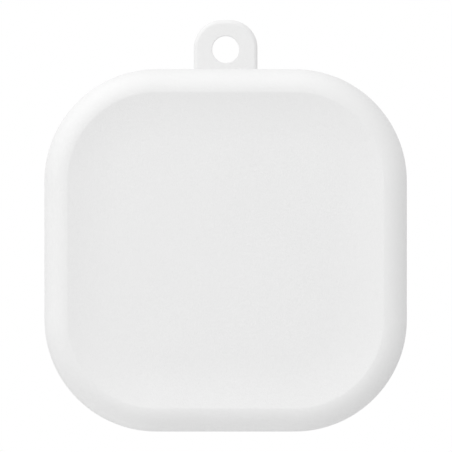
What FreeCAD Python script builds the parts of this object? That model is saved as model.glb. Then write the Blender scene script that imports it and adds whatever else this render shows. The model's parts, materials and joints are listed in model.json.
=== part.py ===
import FreeCAD
import Part
import math
import os

# Plug-in mesh radio range extender, in millimetres.
# X is to the right, Y goes into the wall and Z is up. The origin is the middle of the flat back face,
# which lies on the wall plane, so the dished front faces -Y and the plug blades stand out along +Y.

Vector = FreeCAD.Vector
origin = Vector(0, 0, 0)
axis_x = Vector(1, 0, 0)
axis_y = Vector(0, 1, 0)
axis_z = Vector(0, 0, 1)

# Body outline and shells
body_size = 52.0
corner_radius = 16.1
rim_radius = 3.35
dish_blend = 7.2
dish_depth = 0.65
wall = 1.8
back_wall = 2.0
side_taper = 0.4
back_round = 1.4
cavity_round = 1.2
seam_height = 10.0
seam_reveal = 0.35
lip_thickness = 0.8
tongue_height = 2.0
tongue_gap = 0.1
panel_width = 26.0
panel_height = 13.0
panel_corner = 2.0
panel_depth = 0.2
panel_drop = 10.5

# Screw tab over the outlet's centre screw
tab_width = 9.2
tab_rise = 7.3
tab_corner = 4.0
tab_thickness = 2.0
tab_edge_round = 0.6
tab_hole_radius = 1.95
tab_hole_rise = 3.05

# Plug blades, and what holds them in the rear housing
blade_thickness = 1.5
line_blade_width = 6.35
neutral_blade_width = 7.9
blade_reach = 17.5
blade_spacing = 12.7
blade_below_screw = 15.5
blade_hole_radius = 2.0
blade_hole_reach = 11.9
blade_tip_chamfer = 1.5
blade_tip_land = 0.7
blade_tip_taper = 1.2
shoulder_margin = 1.1
shoulder_thickness = 1.2
tail_width = 3.0
tail_gap = 0.5
retainer_thickness = 2.8
retainer_margin = 2.4
retainer_gap = 0.1
stake_radius = 1.1
stake_head_radius = 1.9
stake_head_height = 0.8
stake_offset = 4.2
spring_thickness = 0.3
spring_width = 2.4
spring_foot = 2.0
spring_bend = 0.45
spring_end_gap = 1.0

# Boards
board_edge_gap = 1.4
board_corner = 1.0
post_gap = 0.4
power_standoff = 5.6
power_board_thickness = 1.6
radio_board_thickness = 1.0
board_gap = 0.9
shield_gap = 1.0
sheet_thickness = 0.25
sheet_margin = 0.6
sheet_cut_gap = 0.5
part_gap = 0.6

# Screws: case screws from the back, board screws from inside
case_shank_radius = 1.1
case_head_radius = 2.0
case_head_height = 1.4
case_screw_length = 13.5
case_head_depth = 2.4
case_boss_wall = 1.5
case_post_wall = 1.65
post_wall_gap = 0.15
board_shank_radius = 1.0
board_head_radius = 1.8
board_head_height = 1.2
head_flat = 0.72
head_edge = 0.3
head_bulge = 0.1
board_boss_wall = 1.2
board_screw_inset = 4.0
power_screw_drop = 4.4
power_screw_rise = 2.0
radio_screw_drop = 4.2
radio_screw_rise = 5.8
power_screw_bite = 4.0
radio_screw_bite = 2.2
screw_hole_gap = 0.15
pilot_spare = 0.2
thread_pitch = 0.7
thread_depth = 0.2
thread_gap = 0.02
tip_flat = 0.5
recess_width = 0.45
recess_margin = 0.75
recess_depth = 0.75

# Through-hole parts on the power board
lead_radius = 0.3
lead_hole_gap = 0.1
lead_proud = 0.9
lead_bend = 0.7
lead_bite = 0.8
solder_radius = 0.85
solder_tip_radius = 0.39
solder_pin_radius = 0.48
solder_height = 0.6
body_lift = 0.25
resistor_radius = 1.7
resistor_length = 8.5
resistor_waist = 1.46
resistor_cap = 1.7
resistor_slope = 0.43
resistor_round = 0.68
resistor_edge_gap = 1.2
varistor_radius = 3.6
varistor_thickness = 2.9
varistor_pitch = 5.0
varistor_edge_gap = 2.4
disc_lift = 0.8
film_length = 11.0
film_width = 4.4
film_height = 8.5
film_foot = 0.8
film_foot_rise = 0.3
film_pitch = 7.5
film_past_tail = 1.15
choke_radius = 2.9
choke_height = 6.5
choke_flange = 0.9
choke_post_radius = 1.4
choke_winding_radius = 2.4
choke_pitch = 3.0
bulk_radius = 3.15
bulk_length = 11.0
bulk_pitch = 2.5
bulk_gap = 0.4
can_rim = 0.6
can_groove = 0.35
can_crimp = 2.2
sleeve_thickness = 0.12
safety_radius = 3.3
safety_thickness = 2.7
safety_pitch = 5.0
output_radius = 3.0
output_height = 7.5
output_pitch = 2.0

# Transformer
core_length = 12.0
core_height = 10.0
core_thickness = 4.8
core_leg = 1.9
core_middle = 3.0
core_lift = 0.6
core_gap = 0.1
bobbin_wall = 0.5
flange_thickness = 0.6
winding_thickness = 2.0
flange_proud = 0.4
pin_rail_width = 2.4
pin_rail_height = 2.0
pin_pitch = 3.2

# Surface-mount parts
chip_stand = 0.1
package_slope = 0.12
dimple_radius = 0.3
dimple_depth = 0.1
dimple_inset = 0.8
leg_width = 0.42
leg_thickness = 0.2
leg_shoulder = 0.35
leg_reach = 1.05
leg_bend = 0.16
controller_length = 4.9
controller_width = 3.9
controller_height = 1.5
controller_pitch = 1.27
controller_rows = 4
controller_z = 0.6
rectifier_length = 4.7
rectifier_width = 3.9
rectifier_height = 2.3
rectifier_pitch = 2.5
diode_length = 4.3
diode_width = 2.6
diode_height = 2.2
diode_tab_width = 1.5
diode_tab_thickness = 0.4
chip_length = 1.6
chip_width = 0.8
chip_height = 0.5
chip_pitch = 1.7
chip_column_gap = 3.0

# Board-to-board header
header_pins_count = 4
header_pitch = 2.54
header_width = 2.5
header_spacer_height = 2.5
header_pin_side = 0.6
header_pin_reach = 6.0
header_hole_side = 0.8
header_gap = 0.4
socket_end = 0.15
socket_well = 6.4
header_from_edge = 3.6
header_from_side = 2.4

# Radio parts
shield_width = 15.0
shield_height = 13.0
shield_rise = 1.9
shield_sheet = 0.2
shield_corner = 0.6
shield_chip_gap = 0.9
vent_radius = 0.45
vent_pitch = 2.6
radio_chip_side = 7.0
radio_chip_height = 0.9
crystal_length = 3.2
crystal_width = 2.5
crystal_height = 0.8
crystal_tray = 0.48
crystal_rim = 0.2
trace_thickness = 0.07
trace_width = 0.7
trace_pitch = 1.9
trace_fingers = 7
trace_finger_length = 4.2
trace_edge_gap = 1.0
regulator_length = 4.5
regulator_width = 2.5
regulator_height = 1.5
regulator_pitch = 1.5
regulator_tab_width = 1.7
regulator_leg_reach = 0.9
regulator_above_guide = 1.6
led_length = 2.2
led_width = 1.5
led_height = 0.8
led_base = 0.32
led_lens = 1.4
led_above_bottom = 9.5
guide_radius = 1.3
guide_flange_radius = 2.1
guide_flange_thickness = 0.6
guide_led_gap = 0.3
guide_gap = 0.15
guide_window = 0.6

# Push button and its switch
button_length = 8.0
button_height = 2.8
button_clearance = 0.15
button_recess = 0.15
button_edge_round = 0.3
button_flange_margin = 0.6
button_flange_thickness = 0.8
button_stop_gap = 0.05
button_stem_width = 2.4
button_stem_height = 2.0
button_stem_length = 0.6
switch_length = 6.0
switch_depth = 3.2
switch_height = 4.2
switch_well_radius = 1.5
switch_floor = 0.9
frame_sheet = 0.2
frame_ear = 2.2
frame_hole_gap = 0.1
plunger_radius = 0.9
plunger_reach = 1.0
plunger_gap = 0.06
dome_rise = 0.45
dome_sheet = 0.07
dome_gap = 0.15
terminal_width = 0.7
terminal_length = 1.0
terminal_thickness = 0.25
terminal_spread = 1.8

# How far a cut runs past the face it opens, and what counts as the same place
overcut = 1.0
tiny = 1e-6

# Planes from the wall outward. The room between the boards fits the tallest part, or a lying can below
# the switch, and so the body's depth follows from what it holds.
half = body_size / 2
can_radius = bulk_radius + sleeve_thickness
back_inner = -back_wall
seam = -seam_height
retainer_front = back_inner - retainer_thickness
power_rear = back_inner - power_standoff
power_front = power_rear - power_board_thickness
tallest = max(
    core_lift + core_height,
    film_foot_rise + film_height,
    2 * can_radius + switch_height,
    disc_lift + 2 * varistor_radius,
    disc_lift + 2 * safety_radius,
)
radio_rear = power_front - tallest - board_gap
radio_front = radio_rear - radio_board_thickness
sheet_rear = radio_rear + sheet_thickness
cover_inner = radio_front - shield_rise - shield_gap
dish_floor = cover_inner - wall
front_ridge = dish_floor - dish_depth
rim_start = front_ridge + rim_radius

# Places across the body
cavity_inset = wall + side_taper
ring_band = rim_radius + dish_blend
corner_centre = half - corner_radius
case_boss_radius = case_shank_radius + case_boss_wall
case_post_radius = case_shank_radius + case_post_wall
post_reach = corner_radius - cavity_inset - post_wall_gap - case_post_radius
post_place = corner_centre + post_reach / math.sqrt(2)
board_half = half - cavity_inset - board_edge_gap
board_arm = post_place - case_post_radius - post_gap
board_boss_radius = board_shank_radius + board_boss_wall
screw_hole_z = half + tab_hole_rise
blade_z = screw_hole_z - blade_below_screw
tail_x = blade_spacing / 2
guide_z = -half + led_above_bottom
socket_length = header_pins_count * header_pitch + 2 * socket_end
header_x = board_arm - header_from_side - socket_length / 2
header_z = -board_half + header_from_edge
button_y = radio_rear + switch_height / 2
cavity_x = half - cavity_inset

case_screw_places = [(x * post_place, z * post_place) for x in (-1, 1) for z in (-1, 1)]
screw_x = board_half - board_screw_inset
power_screw_places = [(-screw_x, board_arm - power_screw_drop), (screw_x, power_screw_rise - board_arm)]
radio_screw_places = [(-screw_x, radio_screw_rise - board_arm), (screw_x, board_arm - radio_screw_drop)]
blade_places = [(-tail_x, neutral_blade_width), (tail_x, line_blade_width)]
header_places = [
    (header_x + (pin - (header_pins_count - 1) / 2) * header_pitch, header_z)
    for pin in range(header_pins_count)
]


# Plain shapes


def block(x0, x1, y0, y1, z0, z1):
    """A box between two planes on each axis."""
    return Part.makeBox(x1 - x0, y1 - y0, z1 - z0, Vector(x0, y0, z0))


def plate(x, z, size_x, size_z, y0, y1):
    """A box centred on x and z, between two planes across Y."""
    return block(x - size_x / 2, x + size_x / 2, y0, y1, z - size_z / 2, z + size_z / 2)


def rod(x, z, radius, y0, y1):
    """A cylinder along Y."""
    return Part.makeCylinder(radius, y1 - y0, Vector(x, y0, z), axis_y)


def rod_x(y, z, radius, x0, x1):
    """A cylinder along X."""
    return Part.makeCylinder(radius, x1 - x0, Vector(x0, y, z), axis_x)


def fused(shapes):
    """One shape from touching or overlapping ones, with no seams left in its faces."""
    first, *rest = shapes
    return first.multiFuse(rest).removeSplitter() if rest else first


def group(shapes):
    """Separate solids kept together in one sub-part."""
    return Part.makeCompound([solid for shape in shapes for solid in shape.Solids])


def rounded_face(half_x, half_z, radius, y, x=0.0, z=0.0):
    """A rectangle with round corners, in a plane across Y."""
    edges = []
    ends = []
    for side_x, side_z, start in [(1, -1, -90), (1, 1, 0), (-1, 1, 90), (-1, -1, 180)]:
        centre = Vector(x + side_x * (half_x - radius), y, z + side_z * (half_z - radius))
        points = []
        for angle in (start, start + 45, start + 90):
            turn = math.radians(angle)
            points.append(centre + Vector(math.cos(turn), 0, math.sin(turn)) * radius)
        edges.append(Part.Arc(*points).toShape())
        ends.append((points[0], points[2]))
    for corner in range(4):
        here = ends[corner][1]
        following = ends[(corner + 1) % 4][0]
        if (following - here).Length > tiny:
            edges.append(Part.LineSegment(here, following).toShape())
    return Part.Face(Part.Wire(Part.__sortEdges__(edges)))


def slab(half_x, half_z, radius, y0, y1, x=0.0, z=0.0):
    """A rounded rectangle drawn out along Y."""
    return rounded_face(half_x, half_z, radius, y0, x, z).extrude(Vector(0, y1 - y0, 0))


def profile_face(segments):
    """A face in the XY plane through (x, y) points. A pair of points is an arc: its middle and its end."""
    start = Vector(*segments[0], 0)
    here = start
    edges = []
    for segment in segments[1:] + segments[:1]:
        if isinstance(segment[0], tuple):
            middle, end = (Vector(*point, 0) for point in segment)
            edges.append(Part.Arc(here, middle, end).toShape())
        else:
            end = Vector(*segment, 0)
            if (end - here).Length > tiny:
                edges.append(Part.LineSegment(here, end).toShape())
        here = end
    return Part.Face(Part.Wire(edges))


def arc_about(centre, radius, *angles):
    """An arc of a profile: its middle and its end, at these angles about its centre."""
    turns = [math.radians(angle) for angle in angles]
    return tuple(
        (centre[0] + radius * math.cos(turn), centre[1] + radius * math.sin(turn)) for turn in turns
    )


def turned(segments, x=0.0, y=0.0, z=0.0):
    """A solid of revolution about an axis along Y, from its half section."""
    solid = profile_face(segments).revolve(origin, axis_y, 360)
    solid.translate(Vector(x, y, z))
    return solid


def dome_arc(radius, rise, base):
    """A cap's section toward -Y: from its crown on the axis to its rim on the base plane."""
    sphere = (radius**2 + rise**2) / (2 * rise)
    half_angle = math.asin(radius / sphere) / 2
    crown = base - rise
    middle = (sphere * math.sin(half_angle), crown + sphere * (1 - math.cos(half_angle)))
    return [(0, crown), (middle, (radius, base))]


def taper_at(y):
    """How far the side wall has drawn in from the widest outline at this plane."""
    return side_taper * (y - rim_start) / -rim_start


def body_ring(segments):
    """A ring round the body with this section, whose first value is the inset from the widest outline."""
    section = []
    for segment in segments:
        if isinstance(segment[0], tuple):
            section.append(tuple((half - inset, y) for inset, y in segment))
        else:
            section.append((half - segment[0], segment[1]))
    face = profile_face(section)
    side = face.copy()
    side.translate(Vector(0, 0, -corner_centre))
    corner = face.copy()
    corner.translate(Vector(0, 0, corner_centre))
    side = side.extrude(Vector(0, 0, 2 * corner_centre))
    corner = corner.revolve(Vector(corner_centre, 0, corner_centre), axis_y, -90)
    pieces = []
    for quarter in range(4):
        for piece in (side, corner):
            copy = piece.copy()
            copy.rotate(origin, axis_y, 90 * quarter)
            pieces.append(copy)
    return fused(pieces)


def middle_slab(y0, y1):
    """The flat middle of a shell wall, inside the ring that carries its rim."""
    inner = half - ring_band
    return slab(inner, inner, corner_radius - ring_band, y0, y1)


def fillet_wire(points, bend):
    """Straight runs through the points, with a tangent arc at each bend."""
    points = [Vector(*point) for point in points]
    edges = []
    here = points[0]
    for before, corner, after in zip(points, points[1:], points[2:]):
        coming = (corner - before).normalize()
        going = (after - corner).normalize()
        half_turn = coming.getAngle(going) / 2
        first = corner - coming * bend * math.tan(half_turn)
        last = corner + going * bend * math.tan(half_turn)
        inward = (going - coming).normalize()
        middle = corner + inward * bend * (1 / math.cos(half_turn) - 1)
        edges.append(Part.LineSegment(here, first).toShape())
        edges.append(Part.Arc(first, middle, last).toShape())
        here = last
    edges.append(Part.LineSegment(here, points[-1]).toShape())
    return Part.Wire(edges)


def bent_wire(points, bend):
    """A round lead along the points."""
    direction = (Vector(*points[1]) - Vector(*points[0])).normalize()
    circle = Part.Wire(Part.makeCircle(lead_radius, Vector(*points[0]), direction))
    return fillet_wire(points, bend).makePipeShell([circle], True, False)


def bent_strip(points, z, width, thickness, bend):
    """A flat strip along (x, y) points, centred on z."""
    path = fillet_wire([(x, y, z) for x, y in points], bend)
    start, following = (Vector(x, y, z) for x, y in points[:2])
    across = (following - start).normalize().cross(axis_z) * (thickness / 2)
    along = axis_z * (width / 2)
    corners = [start - across - along, start + across - along, start + across + along]
    corners.append(start - across + along)
    section = Part.makePolygon(corners + corners[:1])
    return path.makePipeShell([section], True, False)


# Fasteners


def screw(x, z, seat, toward, length, shank, head, head_height):
    """A pan-head screw along Y: its head on the seat plane, with a crossed recess, and a ringed thread."""
    turns = int(length / thread_pitch) - 1
    core = shank - thread_depth
    step = thread_pitch / 3
    flat = head * head_flat
    edge = -head_height * head_edge
    middle = ((flat + head) / 2 + head_bulge, (edge - head_height) / 2 - head_bulge)
    section = [(0, -head_height), (flat, -head_height), (middle, (head, edge)), (head, 0), (core, 0)]
    for turn in range(turns):
        base = length - (turns - turn) * thread_pitch
        section += [(core, base), (shank, base + step), (core, base + 2 * step)]
    section += [(core, length - step), (core * tip_flat, length), (0, length)]
    across = 2 * (head - recess_margin)
    opening = -head_height - overcut
    floor = -head_height + recess_depth
    solid = turned(section).cut(
        [
            plate(0, 0, across, recess_width, opening, floor),
            plate(0, 0, recess_width, across, opening, floor),
        ]
    )
    if toward < 0:
        solid.rotate(origin, axis_x, 180)
    solid.translate(Vector(x, seat, z))
    return solid


def case_screws():
    """Four screws from the back, which draw the two shells together."""
    return group(
        screw(
            x,
            z,
            -case_head_depth,
            -1,
            case_screw_length,
            case_shank_radius,
            case_head_radius,
            case_head_height,
        )
        for x, z in case_screw_places
    )


def board_screws(places, seat, toward, length):
    """Small screws that hold a board on its bosses."""
    return group(
        screw(x, z, seat, toward, length, board_shank_radius, board_head_radius, board_head_height)
        for x, z in places
    )


def power_board_screws():
    """Two screws that hold the power board on the rear housing's standoffs."""
    return board_screws(power_screw_places, power_front, 1, power_board_thickness + power_screw_bite)


def radio_board_screws():
    """Two screws that hold the insulation sheet and the radio board on the front cover's posts."""
    length = sheet_thickness + radio_board_thickness + radio_screw_bite
    return board_screws(radio_screw_places, sheet_rear, -1, length)


# Shells


def dish_arc():
    """The dish's slope, from the ridge to the flat floor, tangent to the floor."""
    radius = (dish_blend**2 + dish_depth**2) / (2 * dish_depth)
    half_turn = math.asin(dish_blend / radius) / 2
    middle = (
        ring_band - radius * math.sin(half_turn),
        dish_floor - radius * (1 - math.cos(half_turn)),
    )
    return middle, (ring_band, dish_floor)


def button_outline(margin, x0, x1):
    """The button's round-ended outline with a margin round it, drawn out along X."""
    reach = (button_length - button_height) / 2
    radius = button_height / 2 + margin
    bar = block(x0, x1, button_y - radius, button_y + radius, -reach, reach)
    return fused([bar] + [rod_x(button_y, side * reach, radius, x0, x1) for side in (-1, 1)])


def front_cover():
    """The dished front shell, with its rounded rim, screw bosses, board posts and light window."""
    lip_inset = taper_at(seam) + lip_thickness
    tongue_top = seam - tongue_height - tongue_gap
    fillet_inset = cavity_inset + cavity_round
    section = [
        (taper_at(seam), seam),
        (0, rim_start),
        arc_about((rim_radius, rim_start), rim_radius, 225, 270),
        dish_arc(),
        (ring_band, cover_inner),
        (fillet_inset, cover_inner),
        arc_about((fillet_inset, cover_inner + cavity_round), cavity_round, 225, 180),
        (cavity_inset, tongue_top),
        (lip_inset, tongue_top),
        (lip_inset, seam),
    ]
    pieces = [body_ring(section), middle_slab(dish_floor, cover_inner)]
    pieces += [rod(x, z, case_boss_radius, cover_inner, seam - tongue_gap) for x, z in case_screw_places]
    pieces += [rod(x, z, board_boss_radius, cover_inner, radio_front) for x, z in radio_screw_places]
    case_tip = -case_head_depth - case_screw_length - pilot_spare
    board_tip = radio_front - radio_screw_bite - pilot_spare
    holes = [button_outline(button_clearance, cavity_x - overcut, half + overcut)]
    holes += [rod(x, z, case_shank_radius + thread_gap, case_tip, seam) for x, z in case_screw_places]
    holes += [
        rod(x, z, board_shank_radius + thread_gap, board_tip, radio_front) for x, z in radio_screw_places
    ]
    holes.append(rod(0, guide_z, guide_radius + guide_gap, dish_floor + guide_window, cover_inner))
    return fused(pieces).cut(holes)


def screw_tab():
    """The screw tab with its rounded top and soft front edges. Its root runs down into the back wall."""
    top = half + tab_rise
    root = half - cavity_inset - back_round
    middle = top - tab_corner
    tab = fused(
        [
            slab(tab_width / 2, tab_corner, tab_corner, -tab_thickness, 0, z=middle),
            block(-tab_width / 2, tab_width / 2, -tab_thickness, 0, root, middle),
        ]
    )
    front_edges = [
        edge
        for edge in tab.Edges
        if edge.BoundBox.YMax < tiny - tab_thickness and edge.BoundBox.ZMax > root + tiny
    ]
    return tab.makeFillet(tab_edge_round, front_edges)


def rear_housing():
    """The rear shell, with the screw tab, blade slots, posts and the tongue that locates the cover."""
    tongue_inset = taper_at(seam) + lip_thickness + tongue_gap
    tongue_tip = seam - tongue_height
    reveal_inset = taper_at(seam) + seam_reveal
    reveal = seam + seam_reveal
    fillet_inset = cavity_inset + cavity_round
    section = [
        (tongue_inset, tongue_tip),
        (tongue_inset, seam),
        (reveal_inset, seam),
        (reveal_inset, reveal),
        (taper_at(reveal), reveal),
        (taper_at(0), -back_round),
        arc_about((taper_at(0) + back_round, -back_round), back_round, 135, 90),
        (ring_band, 0),
        (ring_band, back_inner),
        (fillet_inset, back_inner),
        arc_about((fillet_inset, back_inner - cavity_round), cavity_round, 135, 180),
        (cavity_inset, tongue_tip),
    ]
    pieces = [body_ring(section), middle_slab(back_inner, 0), screw_tab()]
    pieces += [rod(x, z, case_post_radius, seam, back_inner) for x, z in case_screw_places]
    pieces += [rod(x, z, board_boss_radius, power_rear, back_inner) for x, z in power_screw_places]
    for side in (-1, 1):
        stake_z = blade_z + side * stake_offset
        pieces.append(rod(0, stake_z, stake_radius, retainer_front, back_inner))
        cap = dome_arc(stake_head_radius, stake_head_height, 0) + [(0, 0)]
        pieces.append(turned(cap, 0, retainer_front, stake_z))
    holes = [rod(0, screw_hole_z, tab_hole_radius, -tab_thickness - overcut, overcut)]
    for x, z in case_screw_places:
        holes.append(rod(x, z, case_shank_radius + screw_hole_gap, seam - overcut, 0))
        holes.append(rod(x, z, case_head_radius + screw_hole_gap, -case_head_depth, overcut))
    pilot_end = power_rear + power_screw_bite + pilot_spare
    holes += [
        rod(x, z, board_shank_radius + thread_gap, power_rear, pilot_end) for x, z in power_screw_places
    ]
    for x, width in blade_places:
        holes.append(plate(x, blade_z, blade_thickness, width, back_inner - overcut, overcut))
    panel = slab(panel_width / 2, panel_height / 2, panel_corner, -panel_depth, overcut, z=-panel_drop)
    holes.append(panel)
    return fused(pieces).cut(holes)


# Plug


def blade(x, width):
    """A flat blade with a chamfered tip and a detent hole, and inside the wall a shoulder and a tail."""
    half_width = width / 2
    tail_end = power_rear + tail_gap
    tip_corner = blade_reach - blade_tip_chamfer
    outline = [
        (half_width - blade_tip_chamfer, blade_reach),
        (half_width, tip_corner),
        (half_width, back_inner),
        (half_width + shoulder_margin, back_inner),
        (half_width + shoulder_margin, back_inner - shoulder_thickness),
        (tail_width / 2, back_inner - shoulder_thickness),
        (tail_width / 2, tail_end),
    ]
    outline += [(-across, y) for across, y in reversed(outline)]
    flat = profile_face(outline)
    flat.rotate(origin, axis_y, -90)
    flat.translate(Vector(x - blade_thickness / 2, 0, blade_z))
    flat = flat.extrude(Vector(blade_thickness, 0, 0))
    edge_on = [
        (blade_tip_land / 2, blade_reach),
        (blade_thickness / 2, blade_reach - blade_tip_taper),
        (blade_thickness / 2, tail_end),
    ]
    edge_on += [(-across, y) for across, y in reversed(edge_on)]
    tapered = profile_face(edge_on)
    tapered.translate(Vector(x, 0, blade_z - width))
    tapered = tapered.extrude(Vector(0, 0, 2 * width))
    hole = rod_x(blade_hole_reach, blade_z, blade_hole_radius, x - blade_thickness, x + blade_thickness)
    return flat.common(tapered).cut(hole)


def neutral_blade():
    """The wide blade, at the left seen from the front."""
    return blade(*blade_places[0])


def line_blade():
    """The narrow blade, at the right seen from the front."""
    return blade(*blade_places[1])


def blade_retainer():
    """The plate that traps the blade shoulders against the back wall, held by two staked pins."""
    half_x = tail_x + blade_thickness / 2 + retainer_margin
    half_z = max(neutral_blade_width, line_blade_width) / 2 + shoulder_margin + retainer_margin / 2
    body = slab(half_x, half_z, retainer_margin / 2, retainer_front, back_inner, z=blade_z)
    slot = blade_thickness + 2 * retainer_gap
    holes = [
        rod(0, blade_z + side * stake_offset, stake_radius, retainer_front, back_inner) for side in (-1, 1)
    ]
    for x, width in blade_places:
        shoulder = width + 2 * shoulder_margin + 2 * retainer_gap
        holes.append(plate(x, blade_z, slot, shoulder, back_inner - shoulder_thickness, back_inner))
        holes.append(plate(x, blade_z, slot, tail_width + 2 * retainer_gap, retainer_front, back_inner))
    return body.cut(holes)


def contact_spring(side):
    """A bent strip soldered behind the power board, pressing the inner face of a blade's tail."""
    arm_x = tail_x - blade_thickness / 2 - spring_thickness / 2
    foot_y = power_rear + spring_thickness / 2
    points = [
        (side * (arm_x - spring_foot), foot_y),
        (side * arm_x, foot_y),
        (side * arm_x, retainer_front - spring_end_gap),
    ]
    return bent_strip(points, blade_z, spring_width, spring_thickness, spring_bend)


def neutral_contact_spring():
    """The spring on the wide blade."""
    return contact_spring(-1)


def line_contact_spring():
    """The spring on the narrow blade."""
    return contact_spring(1)


# Places of the parts on the power board, and of their leads


def pair(x, z, pitch):
    """The two places of a part's leads, side by side along X."""
    return [(x - pitch / 2, z), (x + pitch / 2, z)]


first_row = board_half - part_gap
resistor_pitch = resistor_length + 2 * (lead_bend + part_gap)
resistor_x = resistor_edge_gap + resistor_pitch / 2 - board_arm
resistor_z = first_row - resistor_radius
varistor_x = board_arm - varistor_edge_gap - varistor_radius
varistor_z = first_row - varistor_thickness / 2
second_row = first_row - 2 * resistor_radius - 2 * part_gap
film_x = film_past_tail - tail_x
film_z = second_row - film_width / 2
rectifier_x = film_x + film_length / 2 + leg_reach + rectifier_width / 2 + 2 * part_gap
choke_x = board_half - choke_radius - 2 * part_gap
choke_z = board_arm - choke_radius - part_gap
bulk_end = choke_z - choke_radius - lead_bend - 3 * part_gap
bulk_low = bulk_end - bulk_length
bulk_step = 2 * can_radius + bulk_gap
bulk_x = [board_half - part_gap / 2 - can_radius - place * bulk_step for place in range(2)]
bulk_y = power_front - can_radius
core_x = -board_half + part_gap + core_length / 2
core_y = power_front - core_lift - core_height / 2
bobbin_half = core_thickness / 2 + core_gap + bobbin_wall + winding_thickness + flange_proud
winding_half = core_length / 2 - core_leg - core_gap - flange_thickness
controller_x = (core_x + core_length / 2 + bulk_x[-1] - can_radius) / 2
safety_x = header_x - socket_length / 2 - part_gap - safety_radius
safety_z = -board_half + part_gap + safety_thickness / 2
output_x = -board_arm + output_radius + part_gap
output_z = safety_z + safety_thickness / 2 + output_radius + part_gap
diode_x = core_x
diode_z = -bobbin_half - 2 * part_gap - diode_width / 2

resistor_leads = pair(resistor_x, resistor_z, resistor_pitch)
varistor_leads = pair(varistor_x, varistor_z, varistor_pitch)
film_leads = pair(film_x, film_z, film_pitch)
choke_leads = pair(choke_x, choke_z, choke_pitch)
bulk_leads = [place for x in bulk_x for place in pair(x, bulk_end + lead_bend + part_gap, bulk_pitch)]
safety_leads = pair(safety_x, safety_z, safety_pitch)
output_leads = pair(output_x, output_z, output_pitch)
transformer_leads = [
    (core_x + pin * pin_pitch, side * (bobbin_half - pin_rail_width / 2))
    for side in (-1, 1)
    for pin in (-1, 0, 1)
]
part_leads = (
    resistor_leads + varistor_leads + film_leads + choke_leads + bulk_leads + safety_leads + output_leads
)


# Boards


def board_blank(y0, y1, margin=0.0):
    """A cross-shaped board that clears the four corner posts."""
    reach = board_half - margin
    arm = board_arm - margin
    return fused([slab(reach, arm, board_corner, y0, y1), slab(arm, reach, board_corner, y0, y1)])


def power_board():
    """The mains board, with holes for its screws, leads and header pins."""
    screw_hole = board_shank_radius + screw_hole_gap
    pin_hole = header_pin_side / math.sqrt(2) + lead_hole_gap
    holes = [rod(x, z, screw_hole, power_front, power_rear) for x, z in power_screw_places]
    holes += [rod(x, z, pin_hole, power_front, power_rear) for x, z in header_places]
    for x, z in part_leads + transformer_leads:
        holes.append(rod(x, z, lead_radius + lead_hole_gap, power_front, power_rear))
    return board_blank(power_front, power_rear).cut(holes)


def solder_joints():
    """A cone of solder round each lead and header pin, behind the power board."""
    joints = []
    for x, z in part_leads + transformer_leads:
        cone = [(lead_radius, 0), (solder_radius, 0)]
        cone += [(solder_tip_radius, solder_height), (lead_radius, solder_height)]
        joints.append(turned(cone, x, power_rear, z))
    for x, z in header_places:
        cone = [(0, 0), (solder_radius, 0), (solder_pin_radius, solder_height), (0, solder_height)]
        pin = plate(x, z, header_pin_side, header_pin_side, power_rear, power_rear + solder_height)
        joints.append(turned(cone, x, power_rear, z).cut(pin))
    return group(joints)


def radio_board():
    """The radio board, with holes for its screws and the header socket's tails."""
    screw_hole = board_shank_radius + screw_hole_gap
    pin_hole = lead_radius + lead_hole_gap
    holes = [rod(x, z, screw_hole, radio_front, radio_rear) for x, z in radio_screw_places]
    holes += [rod(x, z, pin_hole, radio_front, radio_rear) for x, z in header_places]
    return board_blank(radio_front, radio_rear).cut(holes)


def insulation_sheet():
    """The film behind the radio board, cut out round the switch and the header socket."""
    half_socket = socket_length / 2 + sheet_cut_gap
    half_switch = switch_length / 2 + terminal_length + sheet_cut_gap
    socket_top = header_z + header_width / 2 + sheet_cut_gap
    switch_left = switch_inner_x - terminal_length - sheet_cut_gap
    screw_hole = board_shank_radius + screw_hole_gap
    holes = [rod(x, z, screw_hole, radio_rear, sheet_rear) for x, z in radio_screw_places]
    left = header_x - half_socket
    holes.append(block(left, left + 2 * half_socket, radio_rear, sheet_rear, -half, socket_top))
    holes.append(block(switch_left, half, radio_rear, sheet_rear, -half_switch, half_switch))
    return board_blank(radio_rear, sheet_rear, sheet_margin).cut(holes)


# Through-hole parts


def straight_lead(x, z, top):
    """A lead from inside a part through the board."""
    return rod(x, z, lead_radius, top, power_rear + lead_proud)


def disc_lead(x, z, middle_x, radius):
    """A lead of a disc part, from a little way inside its rim."""
    drop = math.sqrt(max(radius**2 - (x - middle_x) ** 2, 0))
    return straight_lead(x, z, power_front - disc_lift - radius + drop - lead_bite)


def disc_leads():
    """The leads of the surge disc and of the safety capacitor."""
    leads = [disc_lead(x, z, varistor_x, varistor_radius) for x, z in varistor_leads]
    return leads + [disc_lead(x, z, safety_x, safety_radius) for x, z in safety_leads]


def part_lead_wires():
    """Every tinned lead on the power board, apart from the transformer's pins."""
    wires = disc_leads()
    end = power_rear + lead_proud
    resistor_y = power_front - body_lift - resistor_radius
    for side, (x, z) in zip((-1, 1), resistor_leads):
        start = (resistor_x + side * resistor_length / 2, resistor_y, z)
        wires.append(bent_wire([start, (x, resistor_y, z), (x, end, z)], lead_bend))
    for x, z in bulk_leads:
        wires.append(bent_wire([(x, bulk_y, bulk_end), (x, bulk_y, z), (x, end, z)], lead_bend))
    wires += [straight_lead(x, z, power_front - film_foot_rise) for x, z in film_leads]
    wires += [straight_lead(x, z, power_front) for x, z in choke_leads + output_leads]
    return group(wires)


def disc_body(x, z, radius, thickness):
    """A disc that stands on edge above the board, with a round rim."""
    side = thickness / 2
    section = [(0, -side), (radius - side, -side), ((radius, 0), (radius - side, side)), (0, side)]
    disc = turned(section)
    disc.rotate(origin, axis_x, 90)
    disc.translate(Vector(x, power_front - disc_lift - radius, z))
    return disc.cut(disc_leads())


def varistor():
    """The surge disc."""
    return disc_body(varistor_x, varistor_z, varistor_radius, varistor_thickness)


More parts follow.
